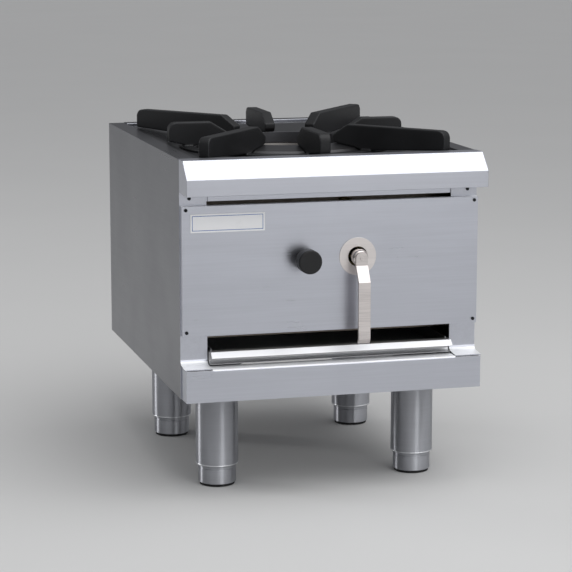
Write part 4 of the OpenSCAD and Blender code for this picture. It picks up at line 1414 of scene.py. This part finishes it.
@dataclass
class Legs:
    """Four tubular legs with welded plates, bolts and screw feet."""

    corners: tuple[str, ...] = ("front_left", "front_right", "rear_left", "rear_right")
    plate_t: float = 4 * MM
    bead_r: float = 1.8 * MM
    rim: float = 1.0 * MM
    stem_r: float = 8 * MM
    root_r: float = 7.2 * MM
    pitch: float = 2.0 * MM
    crest_play: float = 0.05 * MM
    stem_edge: float = 1 * MM
    tube_gap: float = 0.3 * MM
    foot_edge: float = 1.4 * MM
    shoulder: float = 0.8 * MM
    groove_down: float = 5 * MM
    groove_r: float = 0.7 * MM
    rolled_r: float = 1.1 * MM
    rolled_in: float = 0.6 * MM
    rolled_steps: int = 16
    edge_steps: int = 6
    round_steps: int = 64
    pad_rings: int = 3
    pad_groove: float = 0.5 * MM
    pad_shares: tuple[float, float] = (0.35, 0.65)

    def build(self) -> None:
        """Dresses the legs and makes each foot's insert, thread and pad."""
        dress([f"leg_{corner}" for corner in self.corners], LEG_STEEL, self.rim, segments=4)
        dress("leg_bolts", ZINC, edge=0.6 * MM)
        for corner in self.corners:
            self.weld(corner)
            self.rolled_edge(corner)
            self.insert(corner)
            self.pad(corner)

    def weld(self, corner: str) -> None:
        """Lays the bead between a leg's tube and its plate.

        Args:
            corner: The corner that the leg stands at.
        """
        low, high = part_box(f"leg_{corner}")
        place = upright(f"leg_{corner}")
        shape = Shape().weld_ring((high.x - low.x) / 2, self.bead_r, high.z - self.plate_t, place)
        shape.piece(f"leg_weld_{corner}", LEG_STEEL, "leg_steel", "frame", crease=80)

    def rolled_edge(self, corner: str) -> None:
        """Rolls the lower edge of a leg's tube over into a bright bead.

        Args:
            corner: The corner that the leg stands at.
        """
        low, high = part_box(f"leg_{corner}")
        radius = (high.x - low.x) / 2 - self.rolled_in
        place = upright(f"leg_{corner}", low.z + self.rolled_r)
        bead = [(radius + self.rolled_r * math.cos(a), self.rolled_r * math.sin(a))
                for a in (2 * math.pi * i / self.rolled_steps for i in range(self.rolled_steps + 1))]
        shape = Shape().turned(bead, place, self.round_steps)
        shape.piece(f"leg_rim_{corner}", RIM_STEEL, "leg_steel", "frame", crease=80)

    def insert(self, corner: str) -> None:
        """Turns a foot's insert with its threaded stem.

        Args:
            corner: The corner that the leg stands at.
        """
        low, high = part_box(f"foot_insert_{corner}")
        radius = (high.x - low.x) / 2
        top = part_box(f"leg_{corner}")[0].z - self.tube_gap
        place = upright(f"foot_insert_{corner}")
        base = low.z
        edge = self.foot_edge
        round_off = [(radius - edge + edge * math.sin(a), base + edge - edge * math.cos(a))
                     for a in (math.pi / 2 * i / self.edge_steps for i in range(self.edge_steps + 1))]
        groove = top - self.groove_down
        end = high.z - self.stem_edge
        profile = [(0, base), *round_off, (radius, groove - self.groove_r), (radius - self.groove_r, groove),
                   (radius, groove + self.groove_r), (radius, top - self.shoulder),
                   (radius - self.shoulder, top), (self.root_r, top), (self.root_r, end),
                   (self.root_r - self.stem_edge, high.z), (0, high.z)]
        shape = Shape().turned(profile, place, self.round_steps)
        thread = (top + self.tube_gap, end)
        shape.thread(self.root_r, self.stem_r - self.crest_play, thread, self.pitch, place)
        made = shape.piece(f"foot_{corner}", FOOT_STEEL, "foot_steel", f"foot_{corner}", crease=32)
        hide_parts(f"foot_insert_{corner}")

    def pad(self, corner: str) -> None:
        """Turns a rubber pad with grooves in its wall.

        Args:
            corner: The corner that the leg stands at.
        """
        low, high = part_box(f"foot_pad_{corner}")
        radius = (high.x - low.x) / 2
        place = upright(f"foot_pad_{corner}")
        step = (high.z - low.z) / self.pad_rings
        inner = radius - self.pad_groove
        wall = []
        for ring in range(self.pad_rings):
            foot = low.z + ring * step
            wall += [(inner, foot), *((radius, foot + share * step) for share in self.pad_shares)]
        profile = [(0, low.z), *wall, (inner, high.z), (0, high.z)]
        shape = Shape().turned(profile, place, self.round_steps)
        made = shape.piece(f"pad_{corner}", PAD_RUBBER, "pad_rubber", f"foot_{corner}", crease=50)
        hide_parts(f"foot_pad_{corner}")


@dataclass
class DripTray:
    """The sliding tray and its runners."""

    edge: float = 0.4 * MM

    def build(self) -> None:
        """Dresses the tray and the runners."""
        dress("drip_tray", TRAY_STEEL, self.edge)
        dress(["tray_runner_left", "tray_runner_right"], INNER_STEEL, self.edge)


@dataclass
class Lamp:
    """A soft box that lights the range."""

    name: str
    place: Vector
    width: float
    height: float
    radiance: float

    def build(self, aim: Vector) -> None:
        """Hangs the soft box.

        Args:
            aim: The point that it faces.
        """
        data = bpy.data.lights.new(self.name, "AREA")
        data.shape = "RECTANGLE"
        data.size = self.width
        data.size_y = self.height
        data.energy = self.radiance * math.pi * self.width * self.height
        lamp = bpy.data.objects.new(self.name, data)
        lamp.location = self.place
        lamp.rotation_mode = "QUATERNION"
        lamp.rotation_quaternion = (aim - self.place).to_track_quat("-Z", "Y")
        lamp.visible_camera = False
        bpy.context.scene.collection.objects.link(lamp)


@dataclass
class Studio:
    """The pale floor, the soft boxes, the world and the camera."""

    eye: Vector = field(default_factory=lambda: Vector((-0.8789, -3.2584, 0.8584)))
    aim: Vector = field(default_factory=lambda: Vector((0.0006, -0.0075, 0.26366)))
    lens: float = 136.55
    floor_r: float = 60.0
    floor_colour: Colour = (0.62, 0.62, 0.615)
    sky_low: Colour = (0.17, 0.172, 0.18)
    sky_high: Colour = (0.90, 0.905, 0.92)
    sky_lean: Way = (0.35, -0.5, 0.79)
    lit_height: float = 0.35

    def build(self) -> None:
        """Makes the studio."""
        self.floor()
        self.light()
        self.camera()

    def floor(self) -> None:
        """The floor, a wide disc in a pale paint."""
        paint = bpy.data.materials.new("floor paint")
        shader = Shader(paint)
        cloud = shader.noise(shader.place(), 1.5, 3.0)
        shader.coat(
            Base_Color=shader.mix(cloud, toned(self.floor_colour, 0.98), toned(self.floor_colour, 1.02)),
            Roughness=0.9,
            Specular_IOR_Level=0.1,
        )
        data = bpy.data.meshes.new("floor")
        disc = bmesh.new()
        bmesh.ops.create_circle(disc, cap_ends=True, radius=self.floor_r, segments=96)
        disc.to_mesh(data)
        disc.free()
        data.materials.append(paint)
        made = bpy.data.objects.new("floor", data)
        bpy.context.scene.collection.objects.link(made)

    def light(self) -> None:
        """The world and the soft boxes."""
        self.world()
        aim = Vector((0, 0, self.lit_height))
        Lamp("top box", Vector((0.5, -1.0, 2.6)), width=2.6, height=2.6, radiance=1.7).build(aim)
        Lamp("front box", Vector((1.0, -3.8, 1.35)), width=1.3, height=2.1, radiance=1.6).build(aim)
        Lamp("side strip", Vector((-3.6, 2.3, 1.35)), width=0.6, height=1.9, radiance=8.0).build(aim)

    def world(self) -> None:
        """The world, brighter towards the upper front right."""
        world = bpy.data.worlds.new("studio")
        bpy.context.scene.world = world
        shader = Shader(world, "Background")
        view = shader.node("ShaderNodeTexCoord", {}, {}, "Generated")
        sky = shader.ramp(view.along(self.sky_lean), [(0.0, self.sky_low), (1.0, self.sky_high)])
        shader.coat(Color=sky)

    def camera(self) -> None:
        """The camera at the photograph's angle."""
        data = bpy.data.cameras.new("camera")
        data.lens = self.lens
        data.sensor_width = 36.0
        eye = bpy.data.objects.new("camera", data)
        eye.location = self.eye
        eye.rotation_mode = "QUATERNION"
        eye.rotation_quaternion = (self.aim - self.eye).to_track_quat("-Z", "Y")
        bpy.context.scene.collection.objects.link(eye)
        bpy.context.scene.camera = eye


def main() -> None:
    """Builds every sub-assembly and the studio."""
    logging.basicConfig(level=logging.INFO, format="%(message)s")
    bpy.context.scene.view_settings.view_transform = "Standard"
    for part in (Casing, ControlPanel, LeverTap, SafetyButton, Hob, Burner, GasLine, Legs, DripTray):
        LOG.info("sub-assembly %s", part.__name__)
        part().build()
    Studio().build()


if __name__ == "__main__":
    main()
